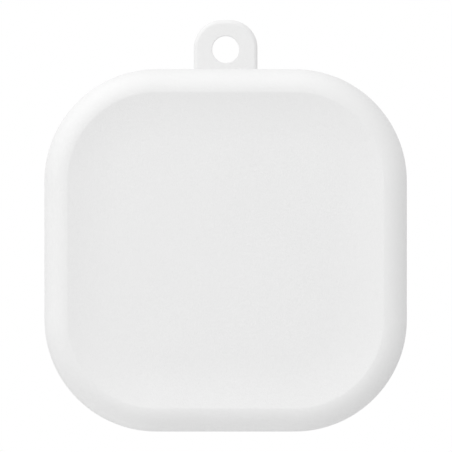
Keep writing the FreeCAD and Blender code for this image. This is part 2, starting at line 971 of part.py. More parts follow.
def safety_capacitor():
    """The disc capacitor that bridges the isolation gap."""
    return disc_body(safety_x, safety_z, safety_radius, safety_thickness)


def fusible_resistor():
    """A resistor that lies along X, with its swollen ends."""
    end = resistor_length / 2
    cap_end = end - resistor_cap
    waist_end = cap_end - resistor_slope
    flat = resistor_radius - resistor_round
    section = [
        (0, -end),
        (flat, -end),
        arc_about((flat, resistor_round - end), resistor_round, -45, 0),
        (resistor_radius, -cap_end),
        (resistor_waist, -waist_end),
        (resistor_waist, waist_end),
        (resistor_radius, cap_end),
        (resistor_radius, end - resistor_round),
        arc_about((flat, end - resistor_round), resistor_round, 45, 90),
        (0, end),
    ]
    body = turned(section)
    body.rotate(origin, axis_z, 90)
    body.translate(Vector(resistor_x, power_front - body_lift - resistor_radius, resistor_z))
    return body


def film_capacitor():
    """The boxed line filter capacitor, on small feet at its ends."""
    base = power_front - film_foot_rise
    pieces = [plate(film_x, film_z, film_length, film_width, base - film_height, base)]
    for side in (-1, 1):
        foot_x = film_x + side * (film_length - film_foot) / 2
        pieces.append(plate(foot_x, film_z, film_foot, film_width, base, power_front))
    return fused(pieces)


def filter_choke():
    """A drum core: two flanges and the post between them."""
    top = power_front - choke_height
    return fused(
        [
            rod(choke_x, choke_z, choke_radius, power_front - choke_flange, power_front),
            rod(choke_x, choke_z, choke_radius, top, top + choke_flange),
            rod(choke_x, choke_z, choke_post_radius, top, power_front),
        ]
    )


def choke_winding():
    """The enamelled wire between the drum's flanges."""
    low = power_front - choke_height + choke_flange
    high = power_front - choke_flange
    coil = rod(choke_x, choke_z, choke_winding_radius, low, high)
    return coil.cut(rod(choke_x, choke_z, choke_post_radius, low, high))


def can(radius, length):
    """A capacitor can along Y, its scored closed end at 0 and its grooved, crimped end at its length."""
    groove_start = length - can_crimp
    groove_end = groove_start + 3 * can_groove
    section = [
        (0, 0),
        (radius - can_rim, 0),
        arc_about((radius - can_rim, can_rim), can_rim, -45, 0),
        (radius, groove_start),
        ((radius - can_groove, (groove_start + groove_end) / 2), (radius, groove_end)),
        (radius, length - can_groove),
        (radius - can_groove, length),
        (0, length),
    ]
    score = can_rim / 3
    return turned(section).cut(
        [plate(0, 0, radius, score, -overcut, score), plate(0, 0, score, radius, -overcut, score)]
    )


def can_sleeve(radius, length):
    """The shrink sleeve on a can's straight side."""
    outer = radius + sleeve_thickness
    end = length - can_crimp
    return turned([(radius, can_rim), (outer, can_rim), (outer, end), (radius, end)])


def lying(shape):
    """A shape made along Y, laid along Z in each bulk capacitor's place."""
    copies = []
    for x in bulk_x:
        copy = shape.copy()
        copy.rotate(origin, axis_x, 90)
        copy.translate(Vector(x, bulk_y, bulk_low))
        copies.append(copy)
    return group(copies)


def bulk_capacitors():
    """The two mains reservoir cans, side by side."""
    return lying(can(bulk_radius, bulk_length))


def bulk_capacitor_sleeves():
    """The reservoir cans' shrink sleeves."""
    return lying(can_sleeve(bulk_radius, bulk_length))


def output_capacitor():
    """The low-voltage can, standing on the board."""
    body = can(output_radius, output_height)
    body.translate(Vector(output_x, power_front - output_height, output_z))
    return body


def output_capacitor_sleeve():
    """The low-voltage can's shrink sleeve."""
    cover = can_sleeve(output_radius, output_height)
    cover.translate(Vector(output_x, power_front - output_height, output_z))
    return cover


# Transformer


def transformer_core():
    """A closed ferrite core with a middle leg along X and a window each side of it."""
    half_height = core_height / 2
    body = plate(core_x, 0, core_length, core_thickness, core_y - half_height, core_y + half_height)
    windows = []
    for side in (-1, 1):
        low, high = sorted((core_y + side * core_middle / 2, core_y + side * (half_height - core_leg)))
        window = plate(core_x, 0, core_length - 2 * core_leg, core_thickness + overcut, low, high)
        windows.append(window)
    return body.cut(windows)


def tube_along_core(half_length, inner_y, inner_z, thickness):
    """A rectangular tube round the core's middle leg, with rounded outer edges."""
    face = rounded_face(inner_z + thickness, inner_y + thickness, thickness, 0)
    face.rotate(origin, axis_x, 90)
    face.rotate(origin, axis_y, 90)
    face.translate(Vector(core_x - half_length, core_y, 0))
    outer = face.extrude(Vector(2 * half_length, 0, 0))
    left, right = core_x - half_length, core_x + half_length
    return outer.cut(block(left, right, core_y - inner_y, core_y + inner_y, -inner_z, inner_z))


def transformer_bobbin():
    """The moulded bobbin: a tube round the middle leg, a flange each end and two rails for the pins."""
    inner_y = core_middle / 2 + core_gap
    inner_z = core_thickness / 2 + core_gap
    flange_y = core_height / 2 - core_leg - core_gap
    rail_low = power_front - body_lift
    rail_top = rail_low - pin_rail_height
    reach = winding_half + flange_thickness
    bore = block(core_x - reach, core_x + reach, core_y - inner_y, core_y + inner_y, -inner_z, inner_z)
    pieces = [tube_along_core(winding_half, inner_y, inner_z, bobbin_wall)]
    for side in (-1, 1):
        z0, z1 = sorted((side * (bobbin_half - pin_rail_width), side * bobbin_half))
        pieces.append(block(core_x - reach, core_x + reach, rail_top, rail_low, z0, z1))
        for end in (-1, 1):
            x0, x1 = sorted((core_x + end * winding_half, core_x + end * reach))
            pieces.append(block(x0, x1, core_y, rail_low, z0, z1))
    for end in (-1, 1):
        x0, x1 = sorted((core_x + end * winding_half, core_x + end * reach))
        flange = block(x0, x1, core_y - flange_y, core_y + flange_y, -bobbin_half, bobbin_half)
        pieces.append(flange.cut(bore))
    return fused(pieces)


def transformer_winding():
    """The taped windings between the flanges."""
    inner_y = core_middle / 2 + core_gap + bobbin_wall
    inner_z = core_thickness / 2 + core_gap + bobbin_wall
    room = core_height / 2 - core_leg - core_gap - inner_y
    return tube_along_core(winding_half, inner_y, inner_z, min(winding_thickness, room))


def transformer_pins():
    """The six pins, from the rails through the board."""
    return group(straight_lead(x, z, power_front - body_lift) for x, z in transformer_leads)


# Surface-mount parts on the power board


def package(x, z, size_x, size_z, height):
    """A moulded chip body with sloped sides and a dimple near one corner."""
    top = power_front - height
    wires = [
        rounded_face(size_x / 2 - inset, size_z / 2 - inset, package_slope, y, x, z).OuterWire
        for inset, y in (
            (package_slope, power_front - chip_stand),
            (0, power_front - height / 2),
            (package_slope, top),
        )
    ]
    dimple_x = x - size_x / 2 + dimple_inset
    dimple_z = z + size_z / 2 - dimple_inset
    dimple = rod(dimple_x, dimple_z, dimple_radius, top - overcut, top + dimple_depth)
    return Part.makeLoft(wires, True, True).cut(dimple)


def gull_leg(x, z, side, half_width, height):
    """One bent leg, from a package side down to the board."""
    shoulder = half_width + leg_shoulder
    foot_y = power_front - leg_thickness / 2
    points = [
        (x + side * half_width, power_front - height / 2),
        (x + side * shoulder, power_front - height / 2),
        (x + side * (shoulder + leg_bend), foot_y),
        (x + side * (half_width + leg_reach), foot_y),
    ]
    return bent_strip(points, z, leg_width, leg_thickness, leg_bend)


def switching_controller():
    """The switching controller's moulded body."""
    return package(controller_x, controller_z, controller_width, controller_length, controller_height)


def bridge_rectifier():
    """The bridge rectifier's moulded body."""
    return package(rectifier_x, film_z, rectifier_width, rectifier_length, rectifier_height)


def output_diode():
    """The output diode's moulded body."""
    return package(diode_x, diode_z, diode_length, diode_width, diode_height)


def power_chip_legs():
    """The legs of the controller, the bridge rectifier and the output diode."""
    legs = []
    half_tab = diode_tab_width / 2
    edge = diode_length / 2
    for side in (-1, 1):
        for row in range(controller_rows):
            z = controller_z + (row - (controller_rows - 1) / 2) * controller_pitch
            legs.append(gull_leg(controller_x, z, side, controller_width / 2, controller_height))
        for row in (-1, 1):
            z = film_z + row * rectifier_pitch / 2
            legs.append(gull_leg(rectifier_x, z, side, rectifier_width / 2, rectifier_height))
        x0, x1 = sorted((diode_x + side * edge, diode_x + side * (edge + diode_tab_thickness)))
        top = power_front - diode_height / 2
        legs.append(block(x0, x1, top, power_front, diode_z - half_tab, diode_z + half_tab))
    return group(legs)


def chips(places, front):
    """Small chip resistors and capacitors on the front face of a board."""
    return group(plate(x, z, chip_length, chip_width, front - chip_height, front) for x, z in places)


def power_chips():
    """The small parts below and above the controller."""
    below = controller_z - controller_length / 2 - chip_pitch
    above = controller_z + controller_length / 2 + chip_pitch
    places = []
    for side in (-1, 1):
        x = controller_x + side * chip_column_gap / 2
        places += [(x, below - row * chip_pitch) for row in range(3)]
        places.append((x, above))
    return chips(places, power_front)


# Header between the boards


def header_spacer():
    """The plastic strip that holds the header pins upright."""
    top = power_front - header_spacer_height
    body = plate(header_x, header_z, header_pins_count * header_pitch, header_width, top, power_front)
    return body.cut(
        [plate(x, z, header_pin_side, header_pin_side, top, power_front) for x, z in header_places]
    )


def header_pins():
    """The square pins, from behind the power board up into the socket."""
    top = power_front - header_spacer_height - header_pin_reach
    end = power_rear + lead_proud
    return group(plate(x, z, header_pin_side, header_pin_side, top, end) for x, z in header_places)


def header_socket():
    """The socket strip behind the radio board, with a square well for each pin."""
    mouth = power_front - header_spacer_height - header_gap
    floor = mouth - socket_well
    body = plate(header_x, header_z, socket_length, header_width, radio_rear, mouth)
    return body.cut(
        [plate(x, z, header_hole_side, header_hole_side, floor, mouth) for x, z in header_places]
    )


def header_socket_pins():
    """The socket's solder tails through the radio board."""
    end = radio_front - solder_height
    return group(rod(x, z, lead_radius, end, radio_rear) for x, z in header_places)


# Radio parts


def shield_can():
    """The pressed can over the radio chip: a box of thin sheet, open to the board, with small vents."""
    top = radio_front - shield_rise
    outer = slab(shield_width / 2, shield_height / 2, shield_corner, top, radio_front)
    inner = slab(
        shield_width / 2 - shield_sheet,
        shield_height / 2 - shield_sheet,
        shield_corner - shield_sheet,
        top + shield_sheet,
        radio_front,
    )
    columns = int((shield_width / 2 - vent_radius - shield_corner) / vent_pitch)
    vents = [
        rod(column * vent_pitch, row * vent_pitch, vent_radius, top - overcut, top + shield_sheet)
        for column in range(-columns, columns + 1)
        for row in (-1, 0, 1)
    ]
    return outer.cut([inner] + vents)


def radio_chip():
    """The radio system chip, at the left under the can."""
    x = -shield_width / 2 + shield_sheet + 2 * part_gap + radio_chip_side / 2
    top = radio_front - radio_chip_height
    dimple_place = radio_chip_side / 2 - dimple_inset
    dimple = rod(x - dimple_place, dimple_place, dimple_radius, top - overcut, top + dimple_depth)
    return plate(x, 0, radio_chip_side, radio_chip_side, top, radio_front).cut(dimple)


def radio_crystal():
    """The crystal at the right under the can: a ceramic tray with its smaller metal lid."""
    x = shield_width / 2 - shield_sheet - part_gap - crystal_length / 2
    z = shield_height / 2 - shield_sheet - part_gap - crystal_width
    step = radio_front - crystal_tray
    lid_length = crystal_length - 2 * crystal_rim
    lid_width = crystal_width - 2 * crystal_rim
    return fused(
        [
            plate(x, z, crystal_length, crystal_width, step, radio_front),
            plate(x, z, lid_length, lid_width, radio_front - crystal_height, step),
        ]
    )


def antenna_trace():
    """The folded printed antenna along the radio board's top edge, with its feed and ground legs."""
    top = board_half - trace_edge_gap
    low = top - trace_finger_length
    left = -(trace_fingers - 1) * trace_pitch / 2
    feed_low = shield_height / 2 + part_gap

    def bar(x0, x1, z0, z1):
        margin = trace_width / 2
        return block(x0 - margin, x1 + margin, radio_front - trace_thickness, radio_front, z0, z1)

    pieces = [
        bar(left, left, feed_low, low),
        bar(left - trace_pitch, left - trace_pitch, feed_low, top),
        bar(left - trace_pitch, left, top - trace_width, top),
    ]
    for finger in range(trace_fingers):
        x = left + finger * trace_pitch
        pieces.append(bar(x, x, low, top))
        if finger < trace_fingers - 1:
            turn_low = top - trace_width if finger % 2 == 1 else low
            pieces.append(bar(x, x + trace_pitch, turn_low, turn_low + trace_width))
    return fused(pieces)


regulator_x = board_arm - header_from_side - regulator_length / 2
regulator_z = guide_z + regulator_above_guide


def voltage_regulator():
    """The low-voltage regulator, right of the status light."""
    top = radio_front - regulator_height
    return plate(regulator_x, regulator_z, regulator_length, regulator_width, top, radio_front)


def voltage_regulator_legs():
    """The regulator's three legs and its heat tab, flat on the board."""
    top = radio_front - leg_thickness
    reach = regulator_width / 2 + regulator_leg_reach / 2
    legs = []
    for leg in (-1, 0, 1):
        x = regulator_x + leg * regulator_pitch
        legs.append(plate(x, regulator_z - reach, leg_width, regulator_leg_reach, top, radio_front))
    tab_z = regulator_z + reach
    legs.append(plate(regulator_x, tab_z, regulator_tab_width, regulator_leg_reach, top, radio_front))
    return group(legs)


def radio_chips():
    """The small parts round the shield can and the regulator."""
    edge = shield_height / 2 + shield_chip_gap + chip_width / 2
    step = chip_length + part_gap
    places = [(-shield_width / 2 + chip_length + place * step, -edge) for place in range(4)]
    places += [(place * step, edge) for place in range(3)]
    x = regulator_x - regulator_length / 2 - part_gap - chip_length / 2
    places += [(x, regulator_z + place * chip_pitch) for place in (-0.5, 0.5)]
    return chips(places, radio_front)


def status_led():
    """The status light: a small moulded lens on its base, facing the cover."""
    step = radio_front - led_base
    return fused(
        [
            plate(0, guide_z, led_length, led_width, step, radio_front),
            plate(0, guide_z, led_lens, led_width, radio_front - led_height, step),
        ]
    )


def light_guide():
    """The clear rod from the status light to the thinned spot in the cover, with its seating flange."""
    base = radio_front - led_height - guide_led_gap
    shaft = rod(0, guide_z, guide_radius, dish_floor + guide_window, base)
    flange = rod(0, guide_z, guide_flange_radius, cover_inner, cover_inner + guide_flange_thickness)
    return fused([shaft, flange])


# Push button and switch, from the right wall inward

flange_outer_x = cavity_x - button_stop_gap
flange_inner_x = flange_outer_x - button_flange_thickness
plunger_tip_x = flange_inner_x - button_stem_length
switch_outer_x = plunger_tip_x - plunger_reach
switch_face_x = switch_outer_x - frame_sheet
switch_inner_x = switch_face_x - switch_depth
well_floor_x = switch_inner_x + switch_floor


def button_cap():
    """The push button: a round-ended cap in the right wall, with its flange and stem inside."""
    face_x = half - taper_at(button_y) - button_recess
    cap = button_outline(0, flange_inner_x, face_x)
    face_edges = [edge for edge in cap.Edges if edge.BoundBox.XMin > face_x - tiny]
    half_width = button_stem_width / 2
    y0, y1 = button_y - button_stem_height / 2, button_y + button_stem_height / 2
    return fused(
        [
            cap.makeFillet(button_edge_round, face_edges),
            button_outline(button_flange_margin, flange_inner_x, flange_outer_x),
            block(plunger_tip_x, flange_inner_x, y0, y1, -half_width, half_width),
        ]
    )


def switch_body():
    """The switch's moulded base, with the round well for the dome and the plunger."""
    half_length = switch_length / 2
    y0, y1 = radio_rear, radio_rear + switch_height
    body = block(switch_inner_x, switch_face_x, y0, y1, -half_length, half_length)
    return body.cut(rod_x(button_y, 0, switch_well_radius, well_floor_x, switch_face_x + overcut))


def switch_frame():
    """The folded steel frame over the switch's face, with an ear each side and the plunger's hole."""
    y0, y1 = radio_rear, radio_rear + switch_height
    inner = switch_length / 2
    outer = inner + frame_sheet
    pieces = [block(switch_face_x, switch_outer_x, y0, y1, -outer, outer)]
    for side in (-1, 1):
        z0, z1 = sorted((side * inner, side * outer))
        pieces.append(block(switch_outer_x - frame_ear, switch_outer_x, y0, y1, z0, z1))
    hole = rod_x(button_y, 0, plunger_radius + frame_hole_gap, switch_inner_x, switch_outer_x + overcut)
    return fused(pieces).cut(hole)


def switch_dome():
    """The snap dome on the well's floor."""
    radius = switch_well_radius - dome_gap
    outer = dome_arc(radius, dome_rise, 0)
    inner = dome_arc(radius - dome_sheet, dome_rise - dome_sheet, 0)
    dome = turned(outer + [(0, 0)]).cut(turned(inner + [(0, 0)]))
    dome.rotate(origin, axis_z, 90)
    dome.translate(Vector(well_floor_x, button_y, 0))
    return dome


def switch_plunger():
    """The plunger: a collar that rides in the well on the dome, and a stem through the frame."""
    collar_low = well_floor_x + dome_rise + button_stop_gap
    collar_high = switch_face_x - button_stop_gap
    collar = rod_x(button_y, 0, switch_well_radius - plunger_gap, collar_low, collar_high)
    return fused([collar, rod_x(button_y, 0, plunger_radius, collar_low, plunger_tip_x)])


def switch_terminals():
    """The switch's four solder terminals: one each side and two behind."""
    half_width = terminal_width / 2
    side_x = switch_inner_x + terminal_width
    back_x = switch_inner_x - terminal_length
    y0, y1 = radio_rear, radio_rear + terminal_thickness
    terminals = []
    for side in (-1, 1):
        z0, z1 = sorted((side * switch_length / 2, side * (switch_length / 2 + terminal_length)))
        terminals.append(block(side_x - half_width, side_x + half_width, y0, y1, z0, z1))
        z = side * terminal_spread
        terminals.append(block(back_x, switch_inner_x, y0, y1, z - half_width, z + half_width))
    return group(terminals)


sub_parts = [
    front_cover,
    rear_housing,
    case_screws,
    neutral_blade,
    line_blade,
    blade_retainer,
    neutral_contact_spring,
    line_contact_spring,
    power_board,
    power_board_screws,
    solder_joints,
    part_lead_wires,
    fusible_resistor,
    varistor,
    film_capacitor,
    filter_choke,
    choke_winding,
    bridge_rectifier,
    bulk_capacitors,
    bulk_capacitor_sleeves,
    switching_controller,
    power_chip_legs,
    power_chips,
    transformer_core,
    transformer_bobbin,
    transformer_winding,
    transformer_pins,
    safety_capacitor,
    output_diode,
    output_capacitor,
    output_capacitor_sleeve,
    header_spacer,
    header_pins,
    header_socket,
    header_socket_pins,
    radio_board,
    radio_board_screws,
    insulation_sheet,
    shield_can,
    radio_chip,
    radio_crystal,
    antenna_trace,
    voltage_regulator,
    voltage_regulator_legs,
    radio_chips,
    status_led,
    light_guide,
    switch_body,
    switch_frame,
    switch_dome,
    switch_plunger,
    switch_terminals,
    button_cap,
]


def main():
    """Builds every sub-part and writes each under its own name."""
    os.makedirs("parts", exist_ok=True)
    for make in sub_parts:
        shape = make()
        shape.exportStep(f"parts/{make.__name__}.step")
        if not shape.isValid():
            print("not valid:", make.__name__)
    print(len(sub_parts), "sub-parts, body depth", round(-front_ridge, 3))


main()
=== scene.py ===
import json
import math

import bmesh
import bpy
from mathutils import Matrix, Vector


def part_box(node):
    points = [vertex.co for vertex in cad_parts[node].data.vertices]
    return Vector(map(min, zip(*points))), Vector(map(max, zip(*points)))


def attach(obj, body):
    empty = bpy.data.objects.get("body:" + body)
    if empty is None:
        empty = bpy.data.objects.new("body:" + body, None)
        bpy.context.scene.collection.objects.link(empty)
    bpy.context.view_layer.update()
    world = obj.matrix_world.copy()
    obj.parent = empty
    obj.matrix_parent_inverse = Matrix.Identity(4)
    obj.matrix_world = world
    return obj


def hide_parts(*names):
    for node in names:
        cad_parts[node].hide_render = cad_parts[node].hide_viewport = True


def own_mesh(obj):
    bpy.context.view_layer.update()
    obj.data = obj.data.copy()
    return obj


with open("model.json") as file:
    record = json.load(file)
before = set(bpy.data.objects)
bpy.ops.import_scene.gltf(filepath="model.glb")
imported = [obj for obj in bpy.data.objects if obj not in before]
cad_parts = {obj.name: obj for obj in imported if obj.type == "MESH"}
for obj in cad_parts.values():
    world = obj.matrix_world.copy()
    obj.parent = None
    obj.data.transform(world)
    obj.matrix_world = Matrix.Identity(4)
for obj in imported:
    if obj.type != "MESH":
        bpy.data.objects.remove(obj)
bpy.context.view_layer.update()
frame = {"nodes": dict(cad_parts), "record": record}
mm = 0.001
near = 0.01 * mm  # coordinates that differ by less are the same
weld = 0.0005 * mm  # points that are closer than this become one
overrun = 1 * mm  # how far a cutting tool sticks out of what it cuts
roundSides = {"small": 32, "usual": 48, "large": 64, "showing": 72}


# Working in edit mode


def deselectAll():
    if bpy.context.mode != "OBJECT":
        bpy.ops.object.mode_set(mode="OBJECT")
    bpy.ops.object.select_all(action="DESELECT")


def take(piece):
    # makes this the one active and selected object
    deselectAll()
    piece.select_set(True)
    bpy.context.view_layer.objects.active = piece
    return piece


def openMesh(piece, kind="FACE"):
    take(piece)
    bpy.ops.object.mode_set(mode="EDIT")
    bpy.ops.mesh.select_mode(type=kind)
    bpy.ops.mesh.select_all(action="DESELECT")


def closeMesh():
    bpy.ops.object.mode_set(mode="OBJECT")


def pick(rule, kind="FACE"):
    # selects what the rule says, in the mesh that is open
    bpy.ops.mesh.select_mode(type=kind)
    bpy.ops.mesh.select_all(action="DESELECT")
    data = bpy.context.object.data
    mesh = bmesh.from_edit_mesh(data)
    parts = {"VERT": mesh.verts, "EDGE": mesh.edges, "FACE": mesh.faces}[kind]
    parts.ensure_lookup_table()
    found = [part for part in parts if rule(part)]
    for part in found:
        part.select_set(True)
    mesh.select_flush_mode()
    bmesh.update_edit_mesh(data)
    return len(found)


def startCube(name, low, high):
    # a cube between two corners, with its place in its mesh
    deselectAll()
    middle = [(a + b) / 2 for a, b in zip(low, high)]
    size = [b - a for a, b in zip(low, high)]
    bpy.ops.mesh.primitive_cube_add(size=1, location=middle)
    piece = bpy.context.object
    piece.name = name
    piece.scale = size
    bpy.ops.object.transform_apply(location=True, rotation=True, scale=True)
    return piece


def startRod(name, radius, start, end, axis="Y", sides=roundSides["usual"]):
    # a round bar between two points on one axis
    deselectAll()
    turn = {"Y": (math.pi / 2, 0, 0), "X": (0, math.pi / 2, 0), "Z": (0, 0, 0)}[axis]
    middle = [(a + b) / 2 for a, b in zip(start, end)]
    length = max(abs(b - a) for a, b in zip(start, end))
    bpy.ops.mesh.primitive_cylinder_add(
        vertices=sides, radius=radius, depth=length, location=middle, rotation=turn
    )
    piece = bpy.context.object
    piece.name = name
    bpy.ops.object.transform_apply(location=True, rotation=True, scale=True)
    return piece


def rods(name, radius, places, fromY, toY, sides=roundSides["usual"]):
    # the same bar along Y at several places
    return [startRod(name, radius, (x, fromY, z), (x, toY, z), sides=sides) for x, z in places]


def roundEdges(rule, offset, segments):
    # bevels the edges that the rule picks; one segment is a chamfer
    if pick(rule, "EDGE"):
        bpy.ops.mesh.bevel(offset=offset, segments=segments, profile=0.5, affect="EDGES")


def ring(inward, along):
    # a new loop inside the selected face: so far in from the last loop, and so far along the face's normal
    bpy.ops.mesh.inset(thickness=inward, depth=along, use_even_offset=True, use_boundary=True)


def arcRings(radius, turn, steps, side=1):
    # rings that follow an arc, from straight along the normal to so many degrees inward,
    # out of the piece (1), or down in a hollow, where the normal points out of it (-1)
    angles = [math.radians(turn * step / steps) for step in range(steps + 1)]
    for a, b in zip(angles, angles[1:]):
        ring(radius * (math.cos(a) - math.cos(b)), side * radius * (math.sin(b) - math.sin(a)))


def capRings(wide, high, side, steps=8):
    # rings that follow a cap of a ball, out of the piece (1) or into it (-1)
    ball = (wide**2 + high**2) / (2 * high)
    turns = [math.asin(wide / ball) * (steps - step) / steps for step in range(steps)]
    for a, b in zip(turns, turns[1:]):
        ring(ball * (math.sin(a) - math.sin(b)), side * ball * (math.cos(b) - math.cos(a)))


def combine(piece, tools, operation):
    # joins or cuts with other solids, one after another, and removes them
    for tool in tools:
        take(piece)
        change = piece.modifiers.new("combine", "BOOLEAN")
        change.operation = operation
        change.solver = "EXACT"
        change.object = tool
        bpy.ops.object.modifier_apply(modifier=change.name)
        bpy.data.objects.remove(tool)


def smoothed(piece, sharpAngle=35):
    # soft shading with crisp edges, steadied by the large faces; points that all but meet become one
    openMesh(piece)
    bpy.ops.mesh.select_all(action="SELECT")
    bpy.ops.mesh.remove_doubles(threshold=weld)
    closeMesh()
    bpy.ops.object.shade_smooth_by_angle(angle=math.radians(sharpAngle))
    weights = piece.modifiers.new("weights", "WEIGHTED_NORMAL")
    weights.mode = "FACE_AREA"
    weights.keep_sharp = True
    bpy.ops.object.modifier_apply(modifier=weights.name)
    return piece


def facing(axis, sign, closeness=0.99):
    # a rule for faces that look along an axis
    return lambda face: face.normal[axis] * sign > closeness


def running(axis):
    # a rule for edges that reach along an axis
    return lambda edge: abs(edge.verts[0].co[axis] - edge.verts[1].co[axis]) > near


def onRim(co, x, z, radius, reach=0.03 * mm):
    # whether a point stands on the rim of a hole along Y
    return abs(math.hypot(co.x - x, co.z - z) - radius) < reach


# Case outline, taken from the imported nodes

coverLow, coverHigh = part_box("front_cover")
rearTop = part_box("rear_housing")[1].z
half = (coverHigh.x - coverLow.x) / 2

case = {
    "corner": 16.1 * mm,
    "rim": 3.35 * mm,
    "dishBlend": 7.2 * mm,
    "dishDepth": 0.65 * mm,
    "wall": 1.8 * mm,
    "backWall": 2.0 * mm,
    "taper": 0.4 * mm,
    "backRound": 1.4 * mm,
    "cavityRound": 1.2 * mm,
    "reveal": 0.35 * mm,
    "lip": 0.8 * mm,
    "tongue": 2.0 * mm,
    "tongueGap": 0.1 * mm,
    "cornerSteps": 32,
    "rimSteps": 14,
    "dishSteps": 12,
    "backSteps": 6,
    "cavitySteps": 5,
    "creaseHalf": 0.12 * mm,
    "startBand": 0.3 * mm,
}
frontRidge = coverLow.y
rimStart = frontRidge + case["rim"]
dishFloor = frontRidge + case["dishDepth"]
coverInner = dishFloor + case["wall"]
seam = -10.0 * mm
backInner = -case["backWall"]
cavityInset = case["wall"] + case["taper"]
cornerCentre = half - case["corner"]


def taperAt(y):
    return case["taper"] * (y - rimStart) / -rimStart


def caseBand(name, inset, y0, y1):
    # a slice of the body's outline: a cube with its four edges along Y rounded, left open in edit mode
    reach = half - inset
    piece = startCube(name, (-reach, y0, -reach), (reach, y1, reach))
    openMesh(piece, "EDGE")
    roundEdges(running(1), case["corner"] - inset, case["cornerSteps"])
    return piece


screws = {
    "bossRadius": 2.6 * mm,
    "bossGap": 0.1 * mm,
    "postRadius": 2.75 * mm,
    "postGap": 0.15 * mm,
    "pilotRadius": 1.12 * mm,
    "pilotEnd": -16.1 * mm,
    "shankHole": 1.25 * mm,
    "headHole": 2.15 * mm,
    "headDepth": 2.4 * mm,
    "edgeRound": 0.15 * mm,
}
# each screw post stands on its corner's diagonal, just clear of the cavity wall
screwReach = case["corner"] - cavityInset - screws["postGap"] - screws["postRadius"]
screwPlace = cornerCentre + screwReach / math.sqrt(2)
screwPlaces = [(x * screwPlace, z * screwPlace) for x in (-1, 1) for z in (-1, 1)]

# what carries the two boards, the light guide and the blade retainer inside
carriers = {
    "postRadius": 2.2 * mm,
    "pilotRadius": 1.02 * mm,
    "sunk": 0.4 * mm,
    "radioPosts": [(-18.4 * mm, -8.73 * mm), (18.4 * mm, 10.33 * mm)],
    "radioFront": -21.84 * mm,
    "radioPilotEnd": -24.24 * mm,
    "powerPosts": [(-18.4 * mm, 10.13 * mm), (18.4 * mm, -12.53 * mm)],
    "powerRear": -7.6 * mm,
    "powerPilotEnd": -3.4 * mm,
    "guideZ": -16.5 * mm,
    "guideRadius": 1.45 * mm,
    "guideEnd": dishFloor + 0.6 * mm,
    "stakeApart": 4.2 * mm,
    "stakeRadius": 1.1 * mm,
    "stakeHeadRadius": 1.9 * mm,
    "stakeHeadHeight": 0.8 * mm,
    "stakeSkirt": 0.05 * mm,
    "stakeFoot": -4.8 * mm,
}

buttonLow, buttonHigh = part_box("button_cap")
button = {
    "y": (buttonLow.y + buttonHigh.y) / 2,
    "length": 8.0 * mm,
    "height": 2.8 * mm,
    "clearance": 0.15 * mm,
    "endRound": 0.9999,  # of half the bar's height: at 1 the points of two bevels would meet
    "endSteps": 14,
    "endWeld": 0.002 * mm,
    "openingMargin": 0.05 * mm,
    "openingRound": 0.14 * mm,
    "edgeRound": 0.3 * mm,
    "edgeTurn": 82,
    "edgeSteps": 5,
    "flangeMargin": 0.6 * mm,
    "flange": 0.8 * mm,
    "stemWidth": 2.4 * mm,
    "stemHeight": 2.0 * mm,
    "stemLength": 0.6 * mm,
    "stemRoot": 0.3 * mm,
    "crown": 0.06 * mm,
    "crownRings": [(0.35 * mm, 0.6), (0.45 * mm, 0.4)],
}


def buttonBar(name, margin, x0, x1):
    # a round-ended bar along X: a cube with its four edges along X rounded until they all but meet,
    # left open in edit mode
    high = button["height"] / 2 + margin
    reach = button["length"] / 2 + margin
    piece = startCube(name, (x0, button["y"] - high, -reach), (x1, button["y"] + high, reach))
    openMesh(piece, "EDGE")
    roundEdges(running(0), high * button["endRound"], button["endSteps"])
    bpy.ops.mesh.select_all(action="SELECT")
    bpy.ops.mesh.remove_doubles(threshold=button["endWeld"])
    return piece


def softenHole(piece, inside, radius, segments=2, sharp=1.2):
    # a small round on the rim of a hole that shows, where its faces turn by more than so many radians
    openMesh(piece, "EDGE")
    roundEdges(
        lambda edge: edge.is_manifold
        and edge.calc_face_angle(0) > sharp
        and all(inside(vert.co) for vert in edge.verts),
        radius,
        segments,
    )
    closeMesh()


